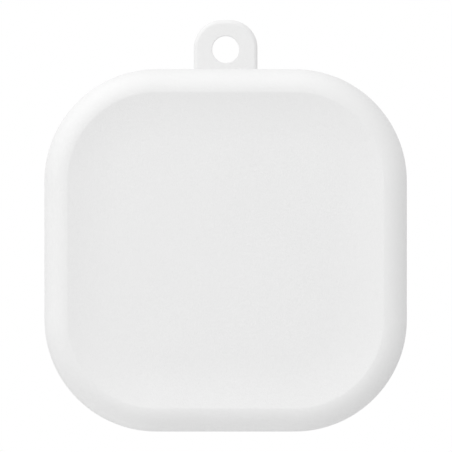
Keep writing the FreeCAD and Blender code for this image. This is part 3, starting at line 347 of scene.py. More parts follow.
def modelFrontCover():
    piece = caseBand("frontCoverShell", 0, rimStart, rimStart + case["startBand"])
    # front: the rolled rim, the crease and the dished face
    pick(facing(1, -1))
    creaseTurn = math.degrees(math.asin(case["creaseHalf"] / case["rim"]))
    arcRings(case["rim"], 90 - creaseTurn, case["rimSteps"])
    dishRadius = (case["dishBlend"] ** 2 + case["dishDepth"] ** 2) / (2 * case["dishDepth"])
    dishTurn = math.degrees(math.asin(case["dishBlend"] / dishRadius))
    creaseDrop = case["rim"] * (1 - math.cos(math.radians(creaseTurn)))
    ring(case["creaseHalf"], creaseDrop)
    slope = math.tan(math.radians(dishTurn))
    ring(case["creaseHalf"], -case["creaseHalf"] * slope)
    here = case["creaseHalf"]
    steps = case["dishSteps"]
    for step in range(1, steps + 1):
        there = case["creaseHalf"] + (case["dishBlend"] - case["creaseHalf"]) * step / steps
        depthHere = dishRadius - math.sqrt(dishRadius**2 - (case["dishBlend"] - here) ** 2)
        depthThere = dishRadius - math.sqrt(dishRadius**2 - (case["dishBlend"] - there) ** 2)
        ring(there - here, depthThere - depthHere)
        here = there
    # back: the tapered side wall, the lip, and the hollow with its rounded floor
    pick(facing(1, 1))
    ring(taperAt(seam), seam - rimStart - case["startBand"])
    ring(case["lip"], 0)
    tongueTop = seam - case["tongue"] - case["tongueGap"]
    ring(0, tongueTop - seam)
    ring(cavityInset - taperAt(seam) - case["lip"], 0)
    ring(0, coverInner + case["cavityRound"] - tongueTop)
    arcRings(case["cavityRound"], 90, case["cavitySteps"], -1)
    closeMesh()
    # inside: screw bosses and board posts; then their pilot holes, the guide's recess and the button's hole
    floor = coverInner - carriers["sunk"]
    bosses = rods("boss", screws["bossRadius"], screwPlaces, floor, seam - screws["bossGap"])
    bosses += rods("post", carriers["postRadius"], carriers["radioPosts"], floor, carriers["radioFront"])
    combine(piece, bosses, "UNION")
    small = roundSides["small"]
    pilotTop = seam + overrun
    cuts = rods("pilot", screws["pilotRadius"], screwPlaces, screws["pilotEnd"], pilotTop, small)
    pilotEnd, pilotTop = carriers["radioPilotEnd"], carriers["radioFront"] + overrun
    cuts += rods("pilot", carriers["pilotRadius"], carriers["radioPosts"], pilotEnd, pilotTop, small)
    guide = [(0, carriers["guideZ"])]
    cuts += rods("guideHole", carriers["guideRadius"], guide, carriers["guideEnd"], coverInner + overrun)
    wallInner = half - cavityInset
    cuts.append(buttonBar("buttonHole", button["clearance"], wallInner - overrun, half + overrun))
    closeMesh()
    combine(piece, cuts, "DIFFERENCE")
    margin = button["clearance"] + button["openingMargin"]
    reach = button["length"] / 2 + margin
    high = button["height"] / 2 + margin
    softenHole(
        piece,
        lambda co: co.x > half - mm and abs(co.z) < reach and abs(co.y - button["y"]) < high,
        button["openingRound"],
    )
    return smoothed(piece)


tab = {
    "width": 9.2 * mm,
    "top": rearTop,
    "thickness": 2.0 * mm,
    "corner": 4.0 * mm,
    "cornerSteps": 20,
    "edgeRound": 0.6 * mm,
    "edgeSteps": 6,
    "holeRadius": 1.95 * mm,
    "holeZ": half + 3.05 * mm,
    "holeRound": 0.15 * mm,
    "root": half - cavityInset - 1.4 * mm,
}
panel = {
    "width": 26.0 * mm,
    "height": 13.0 * mm,
    "corner": 2.0 * mm,
    "cornerSteps": 12,
    "depth": 0.2 * mm,
    "drop": 10.5 * mm,
}
blades = {
    "z": tab["holeZ"] - 15.5 * mm,
    "thickness": 1.5 * mm,
    "tip": 1.5 * mm,
    "land": 0.7 * mm,
    "tipTaper": 1.2 * mm,
    "shoulder": 1.1 * mm,
    "shoulderThickness": 1.2 * mm,
    "tailWidth": 3.0 * mm,
    "holeReach": 11.9 * mm,
    "holeRadius": 2.0 * mm,
    "edgeRound": 0.1 * mm,
    "edgeSteps": 2,
    "edgeAngle": 30,
    "softAngle": 40,
}


def modelTab():
    # the screw tab: a plate with a rounded top and soft front edges; its hole is cut with the case's holes
    low = (-tab["width"] / 2, -tab["thickness"], tab["root"])
    high = (tab["width"] / 2, 0, tab["top"])
    piece = startCube("tab", low, high)
    openMesh(piece, "EDGE")
    through = running(1)
    roundEdges(
        lambda edge: through(edge) and min(vert.co.z for vert in edge.verts) > tab["top"] - near,
        tab["corner"],
        tab["cornerSteps"],
    )
    roundEdges(
        lambda edge: all(vert.co.y < near - tab["thickness"] for vert in edge.verts)
        and max(vert.co.z for vert in edge.verts) > tab["root"] + near,
        tab["edgeRound"],
        tab["edgeSteps"],
    )
    closeMesh()
    return piece


def modelStake(z):
    # a pin through the retainer with its domed head
    foot, skirt = carriers["stakeFoot"], carriers["stakeSkirt"]
    head = startRod("stakeHead", carriers["stakeHeadRadius"], (0, foot - skirt, z), (0, foot, z))
    openMesh(head)
    pick(facing(1, -1))
    capRings(carriers["stakeHeadRadius"], carriers["stakeHeadHeight"] - skirt, 1)
    closeMesh()
    pinEnds = foot - skirt / 2, backInner + carriers["sunk"]
    pin = rods("pin", carriers["stakeRadius"], [(0, z)], *pinEnds, roundSides["small"])
    combine(head, pin, "UNION")
    return head


def modelRearHousing():
    revealY = seam + case["reveal"]
    piece = caseBand("rearHousingShell", taperAt(revealY), revealY, revealY + case["startBand"])
    # back: the tapered side wall and the rounded back edge
    pick(facing(1, 1))
    ring(taperAt(0) - taperAt(revealY), -case["backRound"] - revealY - case["startBand"])
    arcRings(case["backRound"], 90, case["backSteps"])
    # front: the reveal groove, the tongue, and the hollow with its rounded floor
    pick(facing(1, -1))
    ring(taperAt(seam) + case["reveal"] - taperAt(revealY), 0)
    ring(0, case["reveal"])
    ring(case["lip"] + case["tongueGap"] - case["reveal"], 0)
    ring(0, case["tongue"])
    ring(cavityInset - taperAt(seam) - case["lip"] - case["tongueGap"], 0)
    tongueTip = seam - case["tongue"]
    ring(0, tongueTip - (backInner - case["cavityRound"]))
    arcRings(case["cavityRound"], 90, case["cavitySteps"], -1)
    closeMesh()
    # inside: screw posts, board posts and the retainer's stakes; then every hole, the slots and the panel
    floor = backInner + carriers["sunk"]
    posts = rods("post", screws["postRadius"], screwPlaces, seam, floor)
    posts += rods("post", carriers["postRadius"], carriers["powerPosts"], carriers["powerRear"], floor)
    stakes = [modelStake(blades["z"] + side * carriers["stakeApart"]) for side in (-1, 1)]
    combine(piece, [modelTab()] + posts + stakes, "UNION")
    small = roundSides["small"]
    cuts = rods("through", screws["shankHole"], screwPlaces, seam - overrun, 0, small)
    cuts += rods("counterbore", screws["headHole"], screwPlaces, -screws["headDepth"], overrun)
    pilotTop, pilotEnd = carriers["powerRear"] - overrun, carriers["powerPilotEnd"]
    cuts += rods("pilot", carriers["pilotRadius"], carriers["powerPosts"], pilotTop, pilotEnd, small)
    tabFront, tabHole = -tab["thickness"] - overrun, [(0, tab["holeZ"])]
    cuts += rods("tabHole", tab["holeRadius"], tabHole, tabFront, overrun, roundSides["showing"])
    for name in ("neutral_blade", "line_blade"):
        low, high = bladeBox(name)
        cuts.append(startCube("slot", (low.x, backInner - overrun, low.z), (high.x, overrun, high.z)))
    bare = startCube(
        "bare",
        (-panel["width"] / 2, -panel["depth"], -panel["drop"] - panel["height"] / 2),
        (panel["width"] / 2, overrun, -panel["drop"] + panel["height"] / 2),
    )
    openMesh(bare, "EDGE")
    roundEdges(running(1), panel["corner"], panel["cornerSteps"])
    closeMesh()
    combine(piece, cuts + [bare], "DIFFERENCE")
    softenHole(piece, lambda co: onRim(co, 0, tab["holeZ"], tab["holeRadius"]), tab["holeRound"])
    for x, z in screwPlaces:
        softenHole(
            piece,
            lambda co: co.y > -near and onRim(co, x, z, screws["headHole"]),
            screws["edgeRound"],
        )
    return smoothed(piece)


def bladeBox(name):
    # the blade's box outside the wall: its shoulders inside are wider
    low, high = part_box(name)
    return (
        Vector((low.x, low.y, low.z + blades["shoulder"])),
        Vector((high.x, high.y, high.z - blades["shoulder"])),
    )


def modelBlade(name, node):
    # a flat blade with a thinned tip and its hole; behind the wall, its shoulders and a narrow tail
    low, high = bladeBox(node)
    middle = (low.x + high.x) / 2
    back = backInner - blades["shoulderThickness"]
    piece = startCube(name, (low.x, back, low.z), (high.x, high.y, high.z))
    openMesh(piece, "EDGE")
    across = running(0)
    roundEdges(
        lambda edge: across(edge) and min(vert.co.y for vert in edge.verts) > high.y - near,
        blades["tip"],
        1,
    )
    # two cuts across: where the tip starts to thin, and where the shoulders stop
    for y in (high.y - blades["tipTaper"], backInner):
        bpy.ops.mesh.select_all(action="SELECT")
        bpy.ops.mesh.bisect(plane_co=(0, y, 0), plane_no=(0, 1, 0))
    pick(lambda vert: vert.co.y > high.y - near, "VERT")
    bpy.ops.transform.resize(
        value=(blades["land"] / blades["thickness"], 1, 1), center_override=(middle, high.y, blades["z"])
    )
    for side in (-1, 1):
        outward = facing(2, side)
        pick(lambda face: outward(face) and face.calc_center_median().y < backInner)
        bpy.ops.mesh.extrude_region_move(
            TRANSFORM_OT_translate={"value": (0, 0, side * blades["shoulder"])}
        )
    for side in (-1, 1):
        bpy.ops.mesh.select_all(action="SELECT")
        bpy.ops.mesh.bisect(
            plane_co=(0, 0, blades["z"] + side * blades["tailWidth"] / 2), plane_no=(0, 0, 1)
        )
    inward = facing(1, -1)
    pick(
        lambda face: inward(face)
        and face.calc_center_median().y < back + near
        and abs(face.calc_center_median().z - blades["z"]) < blades["tailWidth"] / 2
    )
    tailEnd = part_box(node)[0].y
    bpy.ops.mesh.extrude_region_move(TRANSFORM_OT_translate={"value": (0, tailEnd - back, 0)})
    closeMesh()
    hole = startRod(
        "hole",
        blades["holeRadius"],
        (low.x - overrun, blades["holeReach"], blades["z"]),
        (high.x + overrun, blades["holeReach"], blades["z"]),
        "X",
        roundSides["large"],
    )
    combine(piece, [hole], "DIFFERENCE")
    take(piece)
    softer = piece.modifiers.new("edges", "BEVEL")
    softer.width = blades["edgeRound"]
    softer.segments = blades["edgeSteps"]
    softer.limit_method = "ANGLE"
    softer.angle_limit = math.radians(blades["edgeAngle"])
    bpy.ops.object.modifier_apply(modifier=softer.name)
    return smoothed(piece, blades["softAngle"])


def modelButton():
    # the push button: a flange behind the wall, a crowned face in its opening, and a stem to the switch
    face = buttonHigh.x
    inner = buttonLow.x + button["stemLength"]
    piece = buttonBar("pushButton", button["flangeMargin"], inner, inner + button["flange"])
    pick(facing(0, 1))
    ring(button["flangeMargin"], 0)
    ring(0, face - button["crown"] - button["edgeRound"] - inner - button["flange"])
    arcRings(button["edgeRound"], button["edgeTurn"], button["edgeSteps"])
    for inward, share in button["crownRings"]:
        ring(inward, button["crown"] * share)
    closeMesh()
    stem = startCube(
        "stem",
        (buttonLow.x, button["y"] - button["stemHeight"] / 2, -button["stemWidth"] / 2),
        (inner + button["stemRoot"], button["y"] + button["stemHeight"] / 2, button["stemWidth"] / 2),
    )
    combine(piece, [stem], "UNION")
    return smoothed(piece)


dome = {"wide": 1.35 * mm, "rise": 0.45 * mm, "sheet": 0.07 * mm, "foot": 0.01 * mm, "pressedTo": 0.3}
domeLow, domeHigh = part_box("switch_dome")
domeFoot = Vector((domeLow.x, (domeLow.y + domeHigh.y) / 2, (domeLow.z + domeHigh.z) / 2))


def modelSnapDome():
    # the switch's snap dome: a thin bowl with its rim on the floor of the well
    x, y, z = domeFoot
    piece = startRod("snapDome", dome["wide"], (x, y, z), (x + dome["foot"], y, z), "X", roundSides["large"])
    openMesh(piece)
    pick(facing(0, 1))
    capRings(dome["wide"], dome["rise"] - dome["foot"], 1)
    pick(facing(0, -1))
    ring(dome["sheet"], 0)
    capRings(dome["wide"] - dome["sheet"], dome["rise"] - dome["sheet"], -1)
    closeMesh()
    return smoothed(piece)


frontShell = modelFrontCover()
print("front cover modelled:", len(frontShell.data.polygons), "faces")
rearShell = modelRearHousing()
print("rear housing modelled:", len(rearShell.data.polygons), "faces")
neutralBlade = modelBlade("neutralBlade", "neutral_blade")
lineBlade = modelBlade("lineBlade", "line_blade")
pushButton = modelButton()
snapDome = modelSnapDome()
print("blades, button and snap dome modelled")

modelled = (
    (frontShell, "front_cover", "body", "shell_white"),
    (rearShell, "rear_housing", "body", "shell_white"),
    (neutralBlade, "neutral_blade", "body", "blade_nickel"),
    (lineBlade, "line_blade", "body", "blade_nickel"),
    (pushButton, "button_cap", "button", "button_white"),
    (snapDome, "switch_dome", "body", "switch_steel"),
)
for piece, node, body, slot in modelled:
    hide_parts(node)
    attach(piece, body)
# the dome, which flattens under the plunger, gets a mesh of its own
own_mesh(snapDome)


# Finishes. Each is a set of nodes on Object coordinates, in metres


class Wire:
    # a node's output that ordinary sums can be written with
    def __init__(self, finish, socket):
        self.finish = finish
        self.socket = socket

    def sum(self, operation, left, right, clamp=False):
        settings = {"operation": operation, "use_clamp": clamp}
        return self.finish.add("ShaderNodeMath", settings, {0: left, 1: right})

    def __add__(self, other):
        return self.sum("ADD", self, other)

    def __sub__(self, other):
        return self.sum("SUBTRACT", self, other)

    def __rsub__(self, other):
        return self.sum("SUBTRACT", other, self)

    def __mul__(self, other):
        return self.sum("MULTIPLY", self, other)

    def __rmul__(self, other):
        return self.sum("MULTIPLY", other, self)

    def __truediv__(self, other):
        return self.sum("DIVIDE", self, other)

    def __abs__(self):
        return self.sum("ABSOLUTE", self, 0.0)

    def root(self):
        return self.sum("SQRT", self, 0.0)

    def sine(self):
        return self.sum("SINE", self, 0.0)

    def limited(self):
        # kept between 0 and 1
        return self.sum("ADD", self, 0.0, clamp=True)

    def past(self, start, soft):
        # 0 before start, 1 after it, with a soft step this wide
        return ((self - start) / soft + 0.5).limited()

    def between(self, low, high, soft):
        return self.past(low, soft) * (1 - self.past(high, soft))

    def repeated(self, pitch):
        # runs from 0 to 1 over each pitch
        return self.sum("FRACT", self / pitch, 0.0)


class Finish:
    # one material: its nodes and its shader
    def __init__(self, name, look):
        self.look = look
        self.material = bpy.data.materials.new(name)
        self.material.use_nodes = True
        self.tree = self.material.node_tree
        self.shader = self.tree.nodes["Principled BSDF"]
        self.colour = (*look["colour"], 1)
        self.set("Base Color", self.colour)
        self.set("Roughness", look["roughness"])
        self.set("Metallic", look.get("metallic", 0.0))
        self.place = self.add("ShaderNodeTexCoord", output="Object")

    def add(self, kind, settings=None, values=None, output=0):
        node = self.tree.nodes.new(kind)
        for name, value in (settings or {}).items():
            setattr(node, name, value)
        for name, value in (values or {}).items():
            self.join(node.inputs[name], value)
        return Wire(self, node.outputs[output])

    def join(self, socket, value):
        if isinstance(value, Wire):
            self.tree.links.new(value.socket, socket)
        else:
            socket.default_value = value

    def set(self, name, value):
        self.join(self.shader.inputs[name], value)

    def along(self, axis, of=None):
        # one coordinate, in metres
        return self.add("ShaderNodeSeparateXYZ", {}, {0: of or self.place}, output=axis)

    def faceTurn(self, axis):
        # how squarely a face looks along an axis: 1 straight, 0 across
        return abs(self.along(axis, self.add("ShaderNodeNewGeometry", output="Normal")))

    def mapped(self, scale):
        return self.add("ShaderNodeMapping", {}, {"Vector": self.place, "Scale": scale})

    def noise(self, size, detail=2.0, rough=0.5, where=None):
        # cloudy values round 0.5, with features of about this size in metres
        values = {"Vector": where or self.place, "Scale": 1 / size, "Detail": detail, "Roughness": rough}
        return self.add("ShaderNodeTexNoise", {}, values)

    def grains(self, size, settings=None):
        # a different value in each cell
        values = {"Vector": self.place, "Scale": 1 / size}
        return self.along("X", self.add("ShaderNodeTexVoronoi", settings, values, output="Color"))

    def streaks(self, axis, size, stretch, detail=3.0):
        # noise drawn out so many times along one axis
        scale = [1 / stretch if name == axis else 1 for name in "XYZ"]
        return self.noise(size, detail, 0.6, self.mapped(scale))

    def blend(self, factor, first, second):
        settings = {"data_type": "RGBA", "blend_type": "MIX"}
        return self.add("ShaderNodeMix", settings, {0: factor, 6: first, 7: second}, output=2)

    def tint(self, factor, colour):
        # runs what the base colour is so far towards another where the factor is 1
        self.colour = self.blend(factor, self.colour, (*colour, 1))
        self.set("Base Color", self.colour)

    def shade(self, factor, times):
        # the same towards a darker or lighter tone of the plain colour
        self.tint(factor, [min(1, value * times) for value in self.look["colour"]])

    def relief(self, height, depth, under=None):
        # bumps of this depth in metres, on top of others
        values = {"Height": height, "Distance": depth}
        if under:
            values["Normal"] = under
        normal = self.add("ShaderNodeBump", {}, values)
        self.set("Normal", normal)
        return normal

    def vary(self, amount, by):
        # roughness that wanders by this much each way
        self.set("Roughness", ((by - 0.5) * (2 * amount) + self.look["roughness"]).limited())


# Plastics

shellLook = {
    "colour": (0.83, 0.83, 0.83),
    "roughness": 0.47,
    "grain": 0.2 * mm,
    "grainDepth": 0.035 * mm,
    "pebble": 0.45 * mm,
    "pebbleDepth": 0.02 * mm,
    "cloud": 9 * mm,
    "cloudTone": 0.985,
}
buttonLook = dict(shellLook, roughness=0.4, grainDepth=0.002 * mm)


def satinShell(name, look):
    # off-white ABS from a finely eroded tool: a tight grain over soft pebbles, and faint clouds of tone
    finish = Finish(name, look)
    grain = finish.noise(look["grain"], 4, 0.65)
    pebble = finish.noise(look["pebble"], 2)
    cloud = finish.noise(look["cloud"], 3)
    finish.shade(cloud.past(0.5, 0.6), look["cloudTone"])
    finish.vary(0.05, cloud * 0.5 + grain * 0.5)
    soft = finish.relief(pebble, look["pebbleDepth"])
    finish.relief(grain, look["grainDepth"], soft)
    return finish


mouldedLooks = {
    "retainer_black": dict(colour=(0.05, 0.05, 0.052), roughness=0.55, along="X", fleck=2.6),
    "header_black": dict(colour=(0.04, 0.04, 0.042), roughness=0.48, along="Y", fleck=1.8),
    "switch_black": dict(colour=(0.045, 0.045, 0.047), roughness=0.45, along="Z", fleck=1.6),
    "bobbin_black": dict(colour=(0.04, 0.038, 0.036), roughness=0.4, along="Z", fleck=1.7),
    "plunger_grey": dict(colour=(0.33, 0.33, 0.34), roughness=0.36, along="X", fleck=1.15),
    "film_box": dict(colour=(0.74, 0.56, 0.08), roughness=0.38, along="Z", fleck=1.12),
    "led_lens": dict(colour=(0.86, 0.84, 0.7), roughness=0.22, along="X", fleck=1.05),
}
moulding = {
    "fibre": 0.09 * mm,
    "fibreStretch": 9,
    "fibreDepth": 0.003 * mm,
    "grain": 0.05 * mm,
    "grainDepth": 0.002 * mm,
    "flow": 1.6 * mm,
    "flowTone": 0.82,
}


def mouldedPart(name, look):
    # small mouldings: short fibres that run with the flow, and a matt grain
    finish = Finish(name, look)
    fibre = finish.streaks(look["along"], moulding["fibre"], moulding["fibreStretch"])
    grain = finish.noise(moulding["grain"], 3, 0.6)
    flow = finish.noise(moulding["flow"], 3, 0.55)
    finish.shade(fibre.past(0.66, 0.1), look["fleck"])
    finish.shade(flow.past(0.62, 0.3) * 0.5, moulding["flowTone"])
    finish.vary(0.08, flow * 0.6 + fibre * 0.4)
    under = finish.relief(fibre, moulding["fibreDepth"])
    finish.relief(grain, moulding["grainDepth"], under)
    return finish


chipLook = {
    "colour": (0.036, 0.036, 0.038),
    "roughness": 0.56,
    "filler": 0.035 * mm,
    "fillerTone": 2.2,
    "fillerDepth": 0.0015 * mm,
    "cloud": 0.7 * mm,
    "cloudTone": 0.75,
}


def chipEpoxy(name, look):
    # chip packages: filler specks in dark epoxy, under soft clouds of gloss
    finish = Finish(name, look)
    speck = finish.grains(look["filler"])
    cloud = finish.noise(look["cloud"], 3)
    finish.shade(speck.past(0.82, 0.05), look["fillerTone"])
    finish.shade(cloud.past(0.6, 0.2) * 0.6, look["cloudTone"])
    finish.vary(0.09, cloud)
    finish.relief(speck, look["fillerDepth"])
    return finish


dippedLooks = {
    "varistor_coat": dict(colour=(0.045, 0.13, 0.34), roughness=0.3, run=0.6),
    "disc_coat": dict(colour=(0.09, 0.3, 0.52), roughness=0.34, run=0.72),
}
dip = {
    "peel": 0.55 * mm,
    "peelDepth": 0.03 * mm,
    "skin": 2.2 * mm,
    "pit": 0.12 * mm,
    "pitDepth": 0.006 * mm,
    "pitShadeTone": 0.45,
}


def dippedCoat(name, look):
    # epoxy dip: orange peel, a thinner and darker skin where it drew back, and tiny pits darkened with
    # painted shade
    finish = Finish(name, look)
    peel = finish.noise(dip["peel"], 2, 0.4)
    skin = finish.noise(dip["skin"], 3)
    pits = finish.noise(dip["pit"], 2)
    finish.shade(skin.past(0.58, 0.25), look["run"])
    # painted shade in the pits, where the bump sinks
    finish.shade(pits.past(0.74, 0.06), dip["pitShadeTone"])
    finish.vary(0.1, skin)
    under = finish.relief(peel, dip["peelDepth"])
    finish.relief(1 - pits.past(0.74, 0.06), dip["pitDepth"], under)
    return finish


sheetLook = {
    "colour": (0.06, 0.06, 0.064),
    "roughness": 0.34,
    "emboss": 0.35 * mm,
    "embossDepth": 0.006 * mm,
    "mark": 0.8 * mm,
    "markTone": 1.35,
}


def filmSheet(name, look):
    # insulation film: a fine matt embossing on one roll direction and soft handling marks
    finish = Finish(name, look)
    emboss = finish.noise(look["emboss"], 1, 0.3)
    marks = finish.streaks("Z", look["mark"], 12, 2)
    finish.shade(marks.past(0.6, 0.2), look["markTone"])
    finish.vary(0.12, marks)
    finish.relief(emboss, look["embossDepth"])
    return finish


tapeLook = {
    "colour": (0.78, 0.62, 0.08),
    "roughness": 0.24,
    "layerEdge": 0.9 * mm,
    "layerWidth": 0.12 * mm,
    "layerTone": 0.6,
    "selvedge": 3.3 * mm,
    "selvedgeTone": 1.12,
    "wrinkle": 1.1 * mm,
    "wrinkleTone": 0.84,
    "depth": 0.05 * mm,
}


def wrappedTape(name, look):
    # polyester tape round the winding: layer edges that show through, and small wrinkles
    finish = Finish(name, look)
    lift = finish.noise(look["wrinkle"], 2, 0.5, finish.mapped((1, 1, 0.35)))
    across = abs(finish.along("Z"))
    layers = across.between(look["layerEdge"], look["layerEdge"] + look["layerWidth"], 0.04 * mm)
    selvedge = across.past(look["selvedge"], 0.2 * mm)
    finish.shade(layers * 0.8, look["layerTone"])
    finish.shade(selvedge, look["selvedgeTone"])
    finish.shade(lift.past(0.58, 0.2) * 0.6, look["wrinkleTone"])
    finish.vary(0.08, lift)
    under = finish.relief(lift, look["depth"])
    finish.relief(selvedge, look["depth"], under)
    return finish


guideLook = {
    "colour": (0.92, 0.94, 0.95),
    "roughness": 0.12,
    "haze": 0.5 * mm,
    "hazeDepth": 0.003 * mm,
    "clearAlpha": 0.3,
    "hazeAlpha": 0.2,
}


def clearGuide(name, look):
    # clear light guide, a little hazy where the tool was blasted
    finish = Finish(name, look)
    haze = finish.noise(look["haze"], 3)
    finish.set("Alpha", haze * look["hazeAlpha"] + look["clearAlpha"])
    finish.vary(0.06, haze)
    finish.relief(haze, look["hazeDepth"])
    return finish


# Metals

bladeLook = {
    "colour": (0.73, 0.715, 0.68),
    "roughness": 0.2,
    "metallic": 1.0,
    "brass": (0.6, 0.55, 0.44),
    "brassRoughness": 0.16,
    "grain": 0.07 * mm,
    "grainDepth": 0.0015 * mm,
    "scratch": 0.16 * mm,
    "scratchDepth": 0.003 * mm,
    "haze": 2.8 * mm,
    "contactFrom": 6 * mm,
    "contactTo": 15.5 * mm,
    "contactFade": 4 * mm,
}


def plugBlade(name, look):
    # nickel-plated brass strip: rolled along the blade, sheared at its narrow sides, rubbed by the contacts
    finish = Finish(name, look)
    rolled = finish.streaks("Y", look["grain"], 40)
    rubbed = finish.streaks("Y", look["scratch"], 120, 2)
    haze = finish.noise(look["haze"], 4, 0.6)
    sheared = finish.faceTurn("Z").past(0.7, 0.3)
    contact = finish.along("Y").between(look["contactFrom"], look["contactTo"], look["contactFade"])
    lines = rubbed.past(0.64, 0.05) * contact * (1 - sheared)
    finish.shade(haze.past(0.55, 0.4) * 0.7, 0.84)
    finish.shade(lines * 0.7, 1.12)
    finish.tint(sheared * 0.5, look["brass"])
    worn = haze * 0.5 + rolled * 0.3 + lines * 0.2
    rough = (worn - 0.4) * 0.22 + sheared * look["brassRoughness"] + look["roughness"]
    finish.set("Roughness", rough.limited())
    under = finish.relief(rolled, look["grainDepth"])
    finish.relief(1 - lines, look["scratchDepth"], under)
    return finish


screwLook = {
    "colour": (0.6, 0.605, 0.6),
    "roughness": 0.3,
    "metallic": 1.0,
    "turningPitch": 0.14 * mm,
    "turningDepth": 0.0015 * mm,
    "spangle": 0.4 * mm,
    "cloud": 0.9 * mm,
    "cloudDepth": 0.004 * mm,
    "crossFrom": -3.6 * mm,
    "crossTo": -3.1 * mm,
    "crossRadius": 1.4 * mm,
    "crossShadeTone": 0.4,
}


def zincScrew(name, look, places=None):
    # bright zinc: fine turning rings about each screw, a mottle of crystals, and painted shade with a
    # rougher surface in the cross of each head
    finish = Finish(name, look)
    mottle = finish.grains(look["spangle"])
    cloud = finish.noise(look["cloud"], 3)
    finish.shade(cloud.past(0.55, 0.3), 0.74)
    finish.shade(mottle.past(0.6, 0.3) * 0.5, 1.14)
    under = finish.relief(cloud, look["cloudDepth"])
    if not places:
        finish.vary(0.08, cloud)
        return finish
    # the screws stand at the same distance from both middle planes, so one pattern serves all four
    reach = abs(places[0][0])
    x = abs(finish.along("X")) - reach
    z = abs(finish.along("Z")) - reach
    radius = (x * x + z * z).root()
    rings = (radius * (2 * math.pi / look["turningPitch"])).sine()
    finish.relief(rings, look["turningDepth"], under)
    inCross = finish.along("Y").between(look["crossFrom"], look["crossTo"], 0.1 * mm)
    cross = inCross * (1 - radius.past(look["crossRadius"], 0.2 * mm))
    # painted shade: the cross recess of each head is darkened
    finish.shade(cross * 0.6, look["crossShadeTone"])
    finish.set("Roughness", (cloud * 0.16 + look["roughness"] - 0.08 + cross * 0.2).limited())
    return finish


strips = {
    "spring_bronze": dict(colour=(0.7, 0.46, 0.22), roughness=0.27, along="X", stain=(0.36, 0.2, 0.1)),
    "leg_tin": dict(colour=(0.7, 0.7, 0.7), roughness=0.32, along="X", stain=(0.46, 0.46, 0.45)),
    "shield_tin": dict(colour=(0.66, 0.66, 0.64), roughness=0.24, along="X", stain=(0.5, 0.5, 0.5)),
    "switch_steel": dict(colour=(0.68, 0.68, 0.67), roughness=0.25, along="Z", stain=(0.5, 0.49, 0.47)),
    "crystal_lid": dict(colour=(0.72, 0.69, 0.62), roughness=0.26, along="X", stain=(0.52, 0.48, 0.4)),
    "pin_gold": dict(colour=(0.86, 0.66, 0.3), roughness=0.2, along="Y", stain=(0.7, 0.46, 0.16)),
    "trace_gold": dict(colour=(0.86, 0.64, 0.28), roughness=0.26, along="X", stain=(0.68, 0.44, 0.18)),
    "lead_tin": dict(colour=(0.7, 0.7, 0.71), roughness=0.28, along="Y", stain=(0.5, 0.5, 0.5)),
    "can_aluminium": dict(colour=(0.8, 0.8, 0.81), roughness=0.28, along="Z", stain=(0.62, 0.62, 0.63)),
}
drawn = {"grain": 0.05 * mm, "grainDepth": 0.0015 * mm, "rub": 0.2 * mm, "rubTone": 1.15, "cloud": 1.3 * mm}


def rolledStrip(name, look):
    # strip and wire: drawn grain along one axis, dull clouds and a few bright rubs
    finish = Finish(name, dict(look, metallic=1.0))
    grain = finish.streaks(look["along"], drawn["grain"], 30)
    cloud = finish.noise(drawn["cloud"], 4, 0.6)
    rub = finish.streaks(look["along"], drawn["rub"], 60, 1)
    finish.tint(cloud.past(0.56, 0.3) * 0.6, look["stain"])
    finish.shade(rub.past(0.7, 0.05) * 0.6, drawn["rubTone"])
    finish.vary(0.09, cloud * 0.6 + grain * 0.4)
    finish.relief(grain, drawn["grainDepth"])
    return finish


solderLook = {
    "colour": (0.76, 0.76, 0.77),
    "roughness": 0.17,
    "metallic": 1.0,
    "frost": 0.25 * mm,
    "frostTone": 0.78,
    "frostDepth": 0.008 * mm,
    "flux": 1.4 * mm,
    "fluxColour": (0.5, 0.34, 0.12),
}


def brightSolder(name, look):
    # solder: bright where it flowed, frosty where it cooled last, with a trace of flux
    finish = Finish(name, look)
    frost = finish.noise(look["frost"], 4, 0.65)
    flux = finish.noise(look["flux"], 2)
    finish.shade(frost.past(0.6, 0.15), look["frostTone"])
    finish.tint(flux.past(0.64, 0.12) * 0.35, look["fluxColour"])
    finish.vary(0.16, frost)
    finish.relief(frost, look["frostDepth"])
    return finish


# Boards and wound parts

boardLook = {
    "colour": (0.016, 0.15, 0.062),
    "roughness": 0.3,
    "trace": (0.03, 0.25, 0.1),
    "traceDepth": 0.03 * mm,
    "tracePitch": 0.85 * mm,
    "area": 5.5 * mm,
    "laminate": (0.5, 0.44, 0.2),
    "weave": 0.5 * mm,
    "weaveDepth": 0.004 * mm,
    "cloud": 4 * mm,
}


def maskedBoard(name, look):
    # solder mask over copper runs and poured areas, the faint glass weave, bare laminate at the edge
    finish = Finish(name, look)
    # each patch of the board has upright runs, level runs or a poured area
    patch = finish.grains(look["area"], {"distance": "CHEBYCHEV"})
    upright = finish.along("X").repeated(look["tracePitch"]).between(0.28, 0.68, 0.06)
    level = finish.along("Z").repeated(look["tracePitch"]).between(0.28, 0.68, 0.06)
    poured = patch.past(0.7, 0.001)
    levelPart = patch.past(0.36, 0.001) * (1 - poured)
    copper = poured + level * levelPart + upright * (1 - poured - levelPart)
    warp = finish.along("X").repeated(look["weave"]) - 0.5
    weft = finish.along("Z").repeated(look["weave"]) - 0.5
    weave = abs(warp) + abs(weft)
    edge = 1 - finish.faceTurn("Y").past(0.5, 0.2)
    finish.tint(copper * 0.8, look["trace"])
    finish.shade(weave.past(0.75, 0.2) * 0.12, 0.6)
    finish.tint(edge, look["laminate"])
    cloud = finish.noise(look["cloud"], 2)
    finish.set("Roughness", (edge * 0.4 + cloud * 0.12 + look["roughness"] - 0.06).limited())
    under = finish.relief(copper, look["traceDepth"])
    finish.relief(weave, look["weaveDepth"], under)
    return finish


